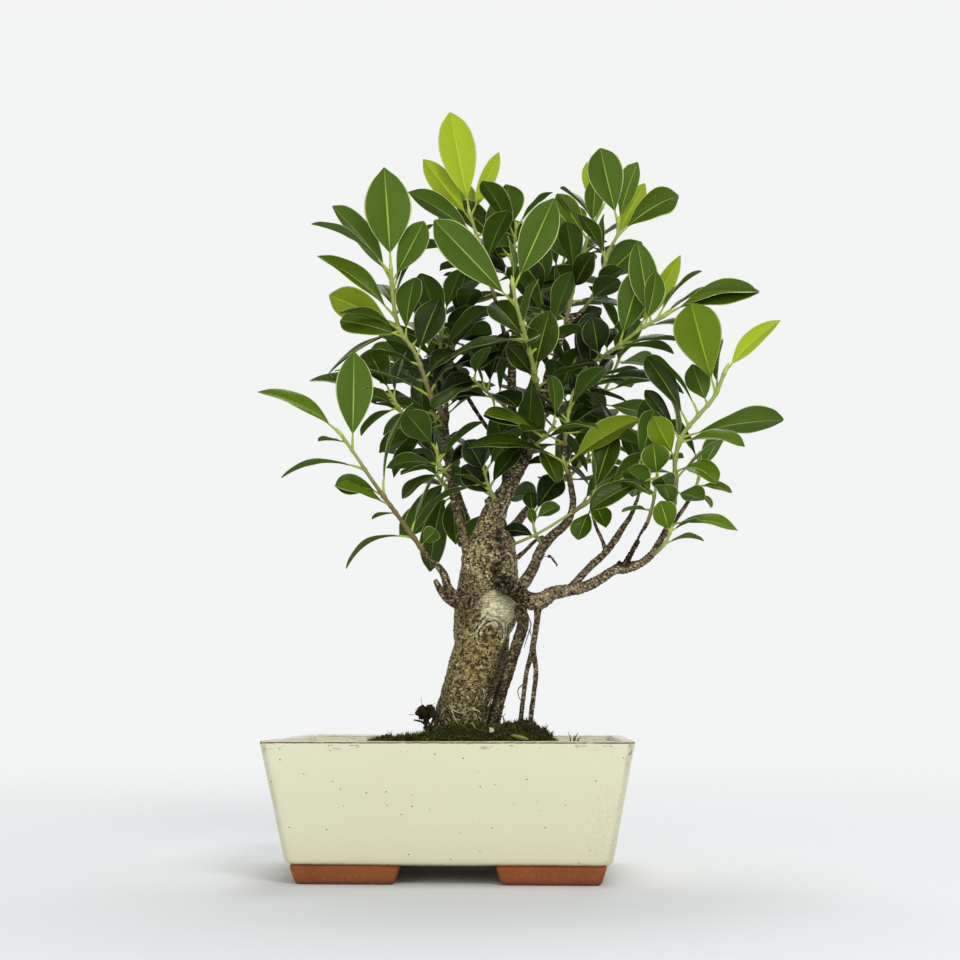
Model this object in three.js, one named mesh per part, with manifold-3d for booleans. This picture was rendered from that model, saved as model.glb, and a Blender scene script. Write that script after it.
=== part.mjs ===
// A small-leaved fig grown as a bonsai in a glazed rectangular pot.
// Millimetres, +Z up. The pot is long along X, and its front faces -Y.
// Every piece is placed from the middle of the pot's footprint on the table. At the end the group
// moves, so that the origin is on the table, under the middle of the plant's whole outline.
import * as THREE from "three";
import { mergeVertices } from "three/addons/utils/BufferGeometryUtils.js";
import Module from "manifold-3d";

const wasm = await Module();
wasm.setup();

// ---------------------------------------------------------------- driving dimensions

const GAP = 0.3; // between two pieces that touch
const CLEARANCE = 0.4; // between a leaf and its neighbours
const LIMB_STEP = 19; // length of one straight stretch of a bent limb
const CAP = { foot: 0.2, end: 0.4 }; // how far a limb's ends bulge, over their radius
const BUD = 6; // length of a shoot's end bud, over the stem's radius there

const POT = {
  length: 243, // over the rim
  width: 180,
  height: 92,
  inset: 15, // how far each wall leans in from rim to foot
  glazeFoot: 13, // height of the glazed wall's lower edge
  corner: 8, // outer corner radius
  wall: 8,
  floor: 7,
  lip: 1.2, // rounding of the rim
  edge: { height: 5, inset: 3 }, // rounding of the glazed wall's lower edge
  base: { below: 0.5, inset: 5, corner: 6 }, // the floor's underside, below the glaze
  cove: { height: 8, inset: 6, corner: 6 }, // where the wall meets the floor inside
};
const FOOT = { along: 73, across: 48, thick: 17, setBack: 3, draft: 4.5, innerDraft: 1 };
const DRAIN = { radius: 11, x: 56, cut: 40 };
const SOIL = { drop: 6, slack: 0.3 }; // drop is from the rim to the soil's surface
const SCREEN = { side: 36, thick: 1.2, cells: 3, bar: 2.4 };
const POCKET = { side: SCREEN.side + 2, height: 8 }; // room in the soil for a screen and its clip
const CLIP = { wire: 0.75, span: 18.4, grip: 7, bend: 2 };
const SOIL_TOP = POT.height - SOIL.drop;
const POT_FLOOR = POT.glazeFoot + POT.floor;

const BLADE = {
  petiole: 0.16, // share of the whole leaf that is stalk
  stalkRadius: 0.7,
  thick: 0.95,
  youngThick: 0.7, // a young leaf is thinner
  fold: THREE.MathUtils.degToRad(14), // each half rises from the midrib
  stations: [0.34, 0.68], // where the blade's width is given, along the blade
  fullness: [0.95, 0.86], // share of the full half-width there
};
const GOLDEN_ANGLE = THREE.MathUtils.degToRad(137.508);
const SLIPS = [0, 6, -6, 12, -12, 18, -18, 24, -24]; // a leaf tip's tries, nearer or farther
const TURN = { step: 7, sighted: 21, hidden: 42 }; // degrees that a leaf may turn to fit

// ---------------------------------------------------------------- the view that the tree was measured in

// The photograph's camera, found from the pot's corners. Pixels count from the top left of its
// 960 px square.
const VIEW = {
  eye: new THREE.Vector3(62.5, -1000, 117),
  turn: THREE.MathUtils.degToRad(2.55),
  tilt: THREE.MathUtils.degToRad(9),
  focal: 1400,
  centre: 480,
  rimRow: 740, // the pot's front rim
};

function sightLine(px, py) {
  const level = new THREE.Vector3(-Math.sin(VIEW.turn), Math.cos(VIEW.turn), 0);
  const right = new THREE.Vector3(Math.cos(VIEW.turn), Math.sin(VIEW.turn), 0);
  const up = new THREE.Vector3(0, 0, 1);
  const ahead = level
    .clone()
    .multiplyScalar(Math.cos(VIEW.tilt))
    .addScaledVector(up, Math.sin(VIEW.tilt));
  const over = up
    .clone()
    .multiplyScalar(Math.cos(VIEW.tilt))
    .addScaledVector(level, -Math.sin(VIEW.tilt));
  return ahead
    .addScaledVector(right, (px - VIEW.centre) / VIEW.focal)
    .addScaledVector(over, (VIEW.centre - py) / VIEW.focal);
}

// The point seen at a pixel, at a depth y behind the pot's middle.
function seen(px, py, y) {
  const line = sightLine(px, py);
  return VIEW.eye.clone().addScaledVector(line, (y - VIEW.eye.y) / line.y);
}

// ---------------------------------------------------------------- solids

function toSolid(geometry) {
  const plain = geometry.clone();
  for (const name of Object.keys(plain.attributes))
    if (name !== "position") plain.deleteAttribute(name);
  const merged = mergeVertices(plain, 1e-4);
  return new wasm.Manifold(
    new wasm.Mesh({
      numProp: 3,
      vertProperties: new Float32Array(merged.attributes.position.array),
      triVerts: new Uint32Array(merged.index.array),
    }),
  );
}

function toGeometry(solid) {
  const mesh = solid.getMesh();
  const geometry = new THREE.BufferGeometry();
  geometry.setAttribute(
    "position",
    new THREE.BufferAttribute(new Float32Array(mesh.vertProperties), 3),
  );
  geometry.setIndex(
    new THREE.BufferAttribute(new Uint32Array(mesh.triVerts), 1),
  );
  geometry.computeVertexNormals();
  return geometry;
}

const join = (solids) => solids.reduce((all, one) => all.add(one));

// The largest body that is left after the neighbours are cut away.
function cutBy(solid, neighbours) {
  const left = neighbours.reduce((rest, one) => rest.subtract(one), solid);
  return left.decompose().sort((a, b) => b.volume() - a.volume())[0];
}

// Rings of points, all of one length, closed by a cap or a point at each end.
function skin(rings, foot, end) {
  const sides = rings[0].length;
  const points = [...rings.flat(), foot, end];
  const [footAt, endAt] = [points.length - 2, points.length - 1];
  const faces = [];
  for (let k = 0; k < sides; k++) {
    const next = (k + 1) % sides;
    const last = (rings.length - 1) * sides;
    faces.push(footAt, next, k, endAt, last + k, last + next);
    for (let ring = 0; ring + 1 < rings.length; ring++) {
      const [low, high] = [ring * sides, (ring + 1) * sides];
      faces.push(low + k, low + next, high + next);
      faces.push(low + k, high + next, high + k);
    }
  }
  const geometry = new THREE.BufferGeometry();
  geometry.setFromPoints(points);
  geometry.setIndex(faces);
  return geometry;
}

// A tapered tube along a smooth curve. radii has one value for each point of the path.
function limb(path, radii, { sides = 8, steps, point = 0, grow = 0 } = {}) {
  const curve = new THREE.CatmullRomCurve3(path, false, "centripetal");
  const count = steps ?? Math.max(2, Math.round(curve.getLength() / LIMB_STEP));
  const frames = curve.computeFrenetFrames(count);
  const rings = [];
  for (let i = 0; i <= count; i++) {
    const u = i / count;
    const at = curve.getUtoTmapping(u) * (radii.length - 1);
    const low = Math.min(Math.floor(at), radii.length - 2);
    const radius =
      THREE.MathUtils.lerp(radii[low], radii[low + 1], at - low) + grow;
    const centre = curve.getPointAt(u);
    rings.push(
      Array.from({ length: sides }, (_, k) => {
        const angle = (2 * Math.PI * k) / sides;
        return centre
          .clone()
          .addScaledVector(frames.normals[i], radius * Math.cos(angle))
          .addScaledVector(frames.binormals[i], radius * Math.sin(angle));
      }),
    );
  }
  const foot = curve
    .getPointAt(0)
    .addScaledVector(frames.tangents[0], -grow - CAP.foot * radii[0]);
  const end = curve
    .getPointAt(1)
    .addScaledVector(
      frames.tangents[count],
      grow + (point || CAP.end * radii[radii.length - 1]),
    );
  return skin(rings, foot, end);
}

// ---------------------------------------------------------------- pot

function roundedRectangle(length, width, radius) {
  const [x, y] = [length / 2 - radius, width / 2 - radius];
  const shape = new THREE.Shape();
  shape.absarc(x, y, radius, 0, Math.PI / 2, false);
  shape.absarc(-x, y, radius, Math.PI / 2, Math.PI, false);
  shape.absarc(-x, -y, radius, Math.PI, 1.5 * Math.PI, false);
  shape.absarc(x, -y, radius, 1.5 * Math.PI, 2 * Math.PI, false);
  return shape;
}

// A solid whose level sections are rounded rectangles. Each level is [z, length, width, corner radius].
// An arc gives two points for each division.
function tapered(levels, divisions = 2) {
  const rings = levels.map(([z, length, width, radius]) =>
    roundedRectangle(length, width, radius)
      .getPoints(divisions)
      .map((p) => new THREE.Vector3(p.x, p.y, z)),
  );
  const middle = (z) => new THREE.Vector3(0, 0, z);
  return skin(rings, middle(levels[0][0]), middle(levels.at(-1)[0]));
}

// How far a wall has leaned in at a height.
const leanAt = (z) =>
  (POT.inset * (POT.height - z)) / (POT.height - POT.glazeFoot);

function sectionAt(z, inwards, corner) {
  const side = 2 * (leanAt(z) + inwards);
  return [z, POT.length - side, POT.width - side, corner];
}

function foot(signX, signY) {
  const { along, across, thick, draft, innerDraft } = FOOT;
  const outline = new THREE.Shape([
    new THREE.Vector2(0, 0),
    new THREE.Vector2(along, 0),
    new THREE.Vector2(along, thick),
    new THREE.Vector2(thick, thick),
    new THREE.Vector2(thick, across),
    new THREE.Vector2(0, across),
  ]);
  const geometry = new THREE.ExtrudeGeometry(outline, {
    depth: POT.glazeFoot,
    bevelEnabled: false,
  });
  // The ends lean in towards the table.
  const place = geometry.attributes.position;
  const shrink = (value, size) =>
    THREE.MathUtils.lerp(draft, size - draft, value / size);
  for (let i = 0; i < place.count; i++) {
    if (place.getZ(i) > POT.glazeFoot / 2) continue;
    const [x, y] = [place.getX(i), place.getY(i)];
    place.setX(i, x === thick ? x - innerDraft : shrink(x, along));
    place.setY(i, y === thick ? y - innerDraft : shrink(y, across) - draft / 2);
  }
  const solid = toSolid(geometry);
  const [x, y] = [
    POT.length / 2 - POT.inset - FOOT.setBack,
    POT.width / 2 - POT.inset - FOOT.setBack,
  ];
  return solid
    .scale([-signX, -signY, 1])
    .translate([signX * x, signY * y, 0]);
}

function makePot() {
  const { height, glazeFoot, corner, wall, lip, edge, base, cove } = POT;
  const shell = toSolid(
    tapered([
      sectionAt(glazeFoot - base.below, base.inset, base.corner),
      sectionAt(glazeFoot, edge.inset, corner),
      sectionAt(glazeFoot + edge.height, 0, corner),
      sectionAt(height - lip, 0, corner - 1),
      sectionAt(height, lip, corner - 1 - lip / 2),
    ]),
  );
  const hollow = toSolid(
    tapered([
      sectionAt(POT_FLOOR, wall + cove.inset, cove.corner),
      sectionAt(POT_FLOOR + cove.height, wall, cove.corner),
      sectionAt(height + 1, wall - 1, cove.corner),
    ]),
  );
  const drains = [-1, 1].map((side) =>
    toSolid(
      new THREE.CylinderGeometry(DRAIN.radius, DRAIN.radius, DRAIN.cut, 20).rotateX(
        Math.PI / 2,
      ),
    ).translate([side * DRAIN.x, 0, POT_FLOOR]),
  );
  const feet = [-1, 1].flatMap((x) => [-1, 1].map((y) => foot(x, y)));
  return join([shell, ...feet])
    .subtract(hollow)
    .subtract(join(drains));
}

function makeScreen(side) {
  const { side: width, thick, cells, bar } = SCREEN;
  const pitch = (width - bar) / cells;
  const block = (x, y, size, height) =>
    toSolid(new THREE.BoxGeometry(size, size, height)).translate([x, y, 0]);
  const middle = (cells - 1) / 2;
  let sheet = block(0, 0, width, thick);
  for (let i = 0; i < cells; i++)
    for (let j = 0; j < cells; j++) {
      const [x, y] = [(i - middle) * pitch, (j - middle) * pitch];
      sheet = sheet.subtract(block(x, y, pitch - bar, 2 * thick));
    }
  return sheet.translate([side * DRAIN.x, 0, POT_FLOOR + GAP + thick / 2]);
}

// A wire clip: over the screen, down through the drain hole and out under the floor.
function makeClip(side) {
  const { wire, span, grip, bend } = CLIP;
  const over = POT_FLOOR + GAP + SCREEN.thick + GAP + wire;
  const under = POT.glazeFoot - POT.base.below - GAP - wire;
  const half = span / 2;
  const corners = [
    [-half - grip, under],
    [-half, under],
    [-half, over],
    [half, over],
    [half, under],
    [half + grip, under],
  ].map(([x, z]) => new THREE.Vector3(side * DRAIN.x + x, 0, z));
  const towards = (corner, other) =>
    corner.clone().lerp(other, bend / corner.distanceTo(other));
  const bends = corners
    .slice(1, -1)
    .flatMap((corner, i) => [towards(corner, corners[i]), towards(corner, corners[i + 2])]);
  const path = [corners[0], ...bends, corners.at(-1)];
  return toSolid(
    limb(
      path,
      path.map(() => wire),
      { sides: 5, steps: 16 },
    ),
  );
}

// ---------------------------------------------------------------- wood

// Each limb is [px, py, depth, radius] from its foot outwards.
const WOOD = {
  trunk: [
    {
      sides: 12,
      steps: 15,
      run: [
        [472, 778, 5, 20],
        [467, 748, 5, 24],
        [463, 724, 4, 20.5],
        [466, 700, 3, 18.3],
        [474, 672, 2, 19],
        [481, 645, 2, 19.4],
        [482, 628, 2, 21],
        [486, 611, 2, 23.5],
        [487, 594, 3, 22.5],
        [488, 576, 4, 21],
        [489, 558, 5, 20],
        [490, 541, 6, 17.5],
        [490, 526, 6, 10.5],
        [495, 511, 6, 9],
        [503, 497, 6, 7.5],
        [510, 485, 7, 6.5],
      ],
    },
    // sawn-off stub at the fork
    { run: [[492, 505, 2, 5], [489, 498, 0, 4.4]] },
    // dead stub
    { run: [[470, 606, -4, 6], [452, 600, -10, 4.5], [442, 592, -14, 3.2], [435, 580, -17, 2]] },
    // shoulder
    { run: [[500, 608, -4, 14], [512, 608, -4, 10.5]] },
    // root flares
    { run: [[455, 735, 0, 11], [437, 750, -4, 7], [420, 764, -6, 5]] },
    { run: [[470, 738, -10, 10], [470, 752, -24, 7], [468, 770, -34, 5]] },
    { run: [[478, 735, 12, 10], [500, 752, 26, 7], [520, 768, 34, 5]] },
  ],
  leader_right: [
    {
      run: [
        [506, 493, 6, 6.6],
        [517, 471, 4, 5.8],
        [526, 456, 2, 5.2],
        [533, 438, 0, 4.8],
        [538, 420, -2, 4.2],
        [540, 403, -3, 4],
        [546, 385, -2, 3.3],
        [549, 371, 0, 3],
        [556, 357, 2, 2.8],
        [560, 341, 4, 2.5],
        [567, 326, 5, 2.2],
        [581, 312, 6, 1.8],
      ],
    },
  ],
  leader_middle: [
    {
      run: [
        [508, 496, 12, 5.2],
        [508, 475, 20, 5],
        [512, 442, 26, 4.2],
        [512, 403, 28, 3.6],
        [512, 370, 28, 3.6],
        [514, 346, 30, 2.6],
        [514, 322, 33, 2.2],
        [511, 298, 36, 1.7],
      ],
    },
    {
      run: [
        [512, 368, 28, 2.6],
        [506, 342, 26, 2],
        [501, 320, 22, 1.8],
        [494, 296, 16, 1.6],
      ],
    },
  ],
  left_riser: [
    {
      run: [
        [469, 556, -2, 5],
        [461, 526, -8, 3.2],
        [454, 500, -10, 2.7],
        [450, 478, -10, 2.5],
        [447, 458, -10, 2.4],
        [444, 438, -10, 2.2],
        [446, 418, -11, 2],
        [446, 400, -12, 1.8],
        [442, 380, -12, 1.6],
      ],
    },
    {
      run: [
        [447, 456, -11, 1.9],
        [434, 450, -15, 1.7],
        [424, 443, -19, 1.6],
        [414, 429, -23, 1.5],
        [406, 418, -26, 1.4],
      ],
    },
  ],
  left_low_branch: [
    {
      run: [
        [459, 600, -8, 4.6],
        [448, 588, -15, 3.6],
        [445, 577, -18, 3.1],
        [439, 567, -20, 2.8],
        [430, 560, -22, 2.3],
        [421, 548, -24, 2],
      ],
    },
  ],
  diagonal_branch: [
    {
      run: [
        [511, 452, 25, 2.4],
        [490, 431, 24, 2],
        [476, 411, 22, 1.8],
        [464, 391, 20, 1.7],
        [456, 376, 18, 1.5],
      ],
    },
  ],
  right_low_branch: [
    {
      sides: 9,
      steps: 16,
      run: [
        [490, 578, -10, 7],
        [503, 588, -22, 7],
        [516, 596, -28, 6.9],
        [530, 603, -27, 6.8],
        [542, 600, -25, 6],
        [553, 593, -25, 5.2],
        [565, 591, -26, 4.9],
        [584, 587, -27, 4.3],
        [600, 579, -28, 4],
        [614, 570, -28, 3.7],
        [626, 567, -28, 3.8],
        [641, 563, -28, 3],
        [652, 554, -28, 2.8],
        [660, 541, -28, 2.5],
        [667, 528, -28, 2.2],
      ],
    },
    {
      run: [
        [624, 566, -28, 2.6],
        [633, 550, -34, 2.1],
        [640, 537, -37, 1.8],
        [647, 523, -39, 1.6],
      ],
    },
  ],
  right_spur_inner: [
    {
      run: [
        [570, 588, -27, 3.2],
        [589, 568, -24, 2.9],
        [606, 552, -22, 2.8],
        [615, 540, -20, 2.9],
        [622, 529, -18, 2.4],
        [631, 515, -16, 1.8],
        [637, 500, -14, 1.4],
      ],
    },
    {
      run: [
        [606, 551, -22, 1.8],
        [602, 540, -18, 1.5],
        [597, 529, -14, 1.4],
        [593, 517, -10, 1.2],
      ],
    },
  ],
  right_spur_outer: [
    {
      run: [
        [662, 538, -28, 2.2],
        [674, 522, -20, 1.9],
        [684, 508, -12, 1.7],
        [692, 495, -6, 1.5],
      ],
    },
  ],
  right_middle_branch: [
    {
      run: [
        [512, 594, 6, 5],
        [526, 580, 9, 4.6],
        [535, 564, 8, 4.3],
        [541, 550, 4, 4.1],
        [552, 536, -2, 3.8],
        [564, 526, -6, 3.4],
        [571, 514, -10, 3],
        [573, 500, -14, 2.7],
        [571, 487, -17, 2.4],
        [568, 472, -20, 2.3],
        [565, 456, -23, 2],
        [564, 445, -25, 1.8],
      ],
    },
  ],
  back_left_branch: [
    {
      run: [
        [482, 556, 10, 5],
        [468, 524, 36, 3.6],
        [457, 492, 60, 3],
        [450, 458, 80, 2.5],
        [446, 424, 96, 2],
      ],
    },
  ],
  back_right_branch: [
    {
      run: [
        [498, 552, 12, 5],
        [516, 524, 40, 3.6],
        [540, 494, 66, 3],
        [566, 458, 86, 2.5],
        [588, 420, 100, 2],
      ],
    },
  ],
  back_middle_branch: [
    {
      run: [
        [511, 450, 27, 3],
        [519, 424, 48, 2.5],
        [528, 394, 68, 2.2],
        [538, 360, 84, 2],
        [546, 330, 94, 1.7],
      ],
    },
  ],
  aerial_root_thick: [
    {
      run: [
        [520, 606, -12, 5.5],
        [523, 622, -14, 4.4],
        [517, 644, -15, 3.8],
        [511, 663, -15, 3.8],
        [506, 682, -15, 4],
        [500, 700, -15, 4.3],
        [494, 720, -15, 4.8],
        [489, 742, -14, 6],
        [484, 766, -12, 5],
      ],
    },
  ],
  aerial_root_forked: [
    {
      sides: 6,
      run: [
        [538, 604, -24, 3],
        [537, 620, -22, 2.4],
        [535, 634, -20, 2.1],
        [532, 652, -18, 2.3],
        [527, 670, -17, 1.8],
        [524, 692, -16, 1.7],
        [521, 718, -14, 2],
        [519, 742, -12, 3],
        [518, 758, -12, 2],
      ],
    },
    {
      sides: 6,
      run: [
        [533, 648, -19, 2],
        [536, 672, -19, 1.8],
        [534, 692, -19, 1.8],
        [531, 718, -18, 2],
        [531, 742, -17, 3],
        [532, 758, -16, 2],
      ],
    },
  ],
};

function woodSolid(limbs, grow = 0) {
  return join(
    limbs.map(({ run, ...options }) =>
      toSolid(
        limb(
          run.map(([px, py, depth]) => seen(px, py, depth)),
          run.map((stop) => stop[3]),
          { sides: 6, ...options, grow },
        ),
      ),
    ),
  );
}

// Wood in the order in which it grew: each later limb ends against the earlier ones.
function growWood() {
  const grown = {};
  const fences = [];
  for (const [name, limbs] of Object.entries(WOOD)) {
    grown[name] = cutBy(woodSolid(limbs), fences);
    fences.push(woodSolid(limbs, GAP));
  }
  return { grown, fences };
}

// ---------------------------------------------------------------- leaves

// Where a leaf's upper side looks.
const FACING = {
  up: [0, 0, 1],
  front: [0, -1, 0.35], // its upper side shows in the photograph
  back: [0, 1, 0.35], // its underside shows
  upFront: [0, -0.6, 0.8],
  upBack: [0, 0.6, 0.8],
  left: [-0.9, -0.2, 0.4],
  right: [0.9, -0.2, 0.4],
  upLeft: [-0.6, 0, 0.8],
  upRight: [0.6, 0, 0.8],
};

// Four-sided rings from the root of the stalk to the tip. margin thickens the leaf, and from is
// where it starts.
function leafRings({ root, tip, face, width, thick, arch }, margin = 0, from = 0) {
  const axis = tip.clone().sub(root);
  const length = axis.length();
  axis.divideScalar(length);
  const normal = face.clone().addScaledVector(axis, -face.dot(axis));
  if (normal.length() < 0.05) normal.set(axis.z, 0, -axis.x);
  normal.normalize();
  const side = axis.clone().cross(normal);
  const ring = (share, half, lift, thickness) => {
    const centre = root
      .clone()
      .addScaledVector(axis, share * length)
      .addScaledVector(normal, arch * length * 4 * share * (1 - share));
    const point = (across, up) =>
      centre
        .clone()
        .addScaledVector(side, across)
        .addScaledVector(normal, up);
    const reach = half + margin;
    const bulk = thickness / 2 + margin;
    return [
      point(-reach, lift),
      point(0, bulk),
      point(reach, lift),
      point(0, -bulk),
    ];
  };
  const stalk = BLADE.stalkRadius;
  const blade = BLADE.stations.map((station, i) => {
    const half = (width / 2) * BLADE.fullness[i];
    const share = BLADE.petiole + (1 - BLADE.petiole) * station;
    return ring(
      share,
      half * Math.cos(BLADE.fold),
      half * Math.sin(BLADE.fold),
      thick,
    );
  });
  const end = tip.clone().addScaledVector(axis, margin);
  return {
    root: ring(from, stalk, 0, 2 * stalk),
    foot: ring(BLADE.petiole, stalk, 0, 2 * stalk),
    blade,
    end,
  };
}

const middleOf = (ring) =>
  ring
    .reduce((sum, p) => sum.add(p), new THREE.Vector3())
    .divideScalar(ring.length);

function leafSolid(leaf, margin, from) {
  const { root, foot, blade, end } = leafRings(leaf, margin, from);
  return toSolid(skin([root, foot, ...blade], middleOf(root), end));
}

// The blade alone.
function bladeSolid(leaf, margin) {
  const { foot, blade, end } = leafRings(leaf, margin);
  return toSolid(skin([foot, ...blade], middleOf(foot), end));
}

// Small turns about the stalk's root, nearest first, that a leaf tries until its blade is clear.
function turns(reach) {
  const found = [];
  for (let swing = -reach; swing <= reach; swing += TURN.step)
    for (let lift = -reach; lift <= reach; lift += TURN.step)
      found.push([swing, lift]);
  return found.sort(
    (a, b) => Math.hypot(...a) - Math.hypot(...b) || a[0] - b[0] || a[1] - b[1],
  );
}

const UP = new THREE.Vector3(0, 0, 1);

function turned(leaf, [swing, lift]) {
  const axis = leaf.tip.clone().sub(leaf.root);
  const across = axis.clone().cross(UP).normalize();
  const turn = new THREE.Quaternion()
    .setFromAxisAngle(UP, THREE.MathUtils.degToRad(swing))
    .multiply(
      new THREE.Quaternion().setFromAxisAngle(
        across,
        THREE.MathUtils.degToRad(lift),
      ),
    );
  return {
    ...leaf,
    tip: leaf.root.clone().add(axis.applyQuaternion(turn)),
    face: leaf.face.clone().applyQuaternion(turn),
  };
}

// A leaf read off the photograph:
// [share of the stem, tip px, tip py, tip depth less root depth, width, facing, arch, young]
// Its tip may slip nearer or farther along the line of sight, or else turn a little.
function sightedLeaf(stem, spec) {
  const [share, px, py, deeper, width, facing, arch = 0.05, young = 0] = spec;
  const root = stem.getPointAt(share);
  const at = (slip) => ({
    root,
    tip: seen(px, py, root.y + deeper + slip),
    face: new THREE.Vector3(...FACING[facing]),
    width,
    arch,
    thick: young ? BLADE.youngThick : BLADE.thick,
  });
  const slips = SLIPS.map(at);
  return [...slips, ...turns(TURN.sighted).map((turn) => turned(slips[0], turn))];
}

// Leaves spaced by the golden angle round a stem, for the shoots that are hidden.
function spiralLeaves(
  stem,
  { count, from, to = 1, start = 0, length = 54, spread = 55, young = 0 },
) {
  return Array.from({ length: count }, (_, i) => {
    const share = THREE.MathUtils.lerp(from, to, i / (count - 1));
    const root = stem.getPointAt(share);
    const along = stem.getTangentAt(share);
    const round = start + i * GOLDEN_ANGLE;
    const first = new THREE.Vector3(1, 0, 0)
      .addScaledVector(along, -along.x)
      .normalize();
    const second = along.clone().cross(first);
    const out = first
      .multiplyScalar(Math.cos(round))
      .addScaledVector(second, Math.sin(round));
    const opening = THREE.MathUtils.degToRad(spread * (1.15 - 0.4 * share));
    const reach = length * (0.86 + 0.14 * Math.cos(3 * i + start));
    const tip = root
      .clone()
      .addScaledVector(along, reach * Math.cos(opening))
      .addScaledVector(out, reach * Math.sin(opening));
    const face = UP.clone().addScaledVector(along, 0.6);
    return {
      root,
      tip,
      face,
      width: reach * 0.42,
      arch: 0.06,
      thick: i >= count - young ? BLADE.youngThick : BLADE.thick,
    };
  }).map((leaf) => turns(TURN.hidden).map((turn) => turned(leaf, turn)));
}

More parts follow.
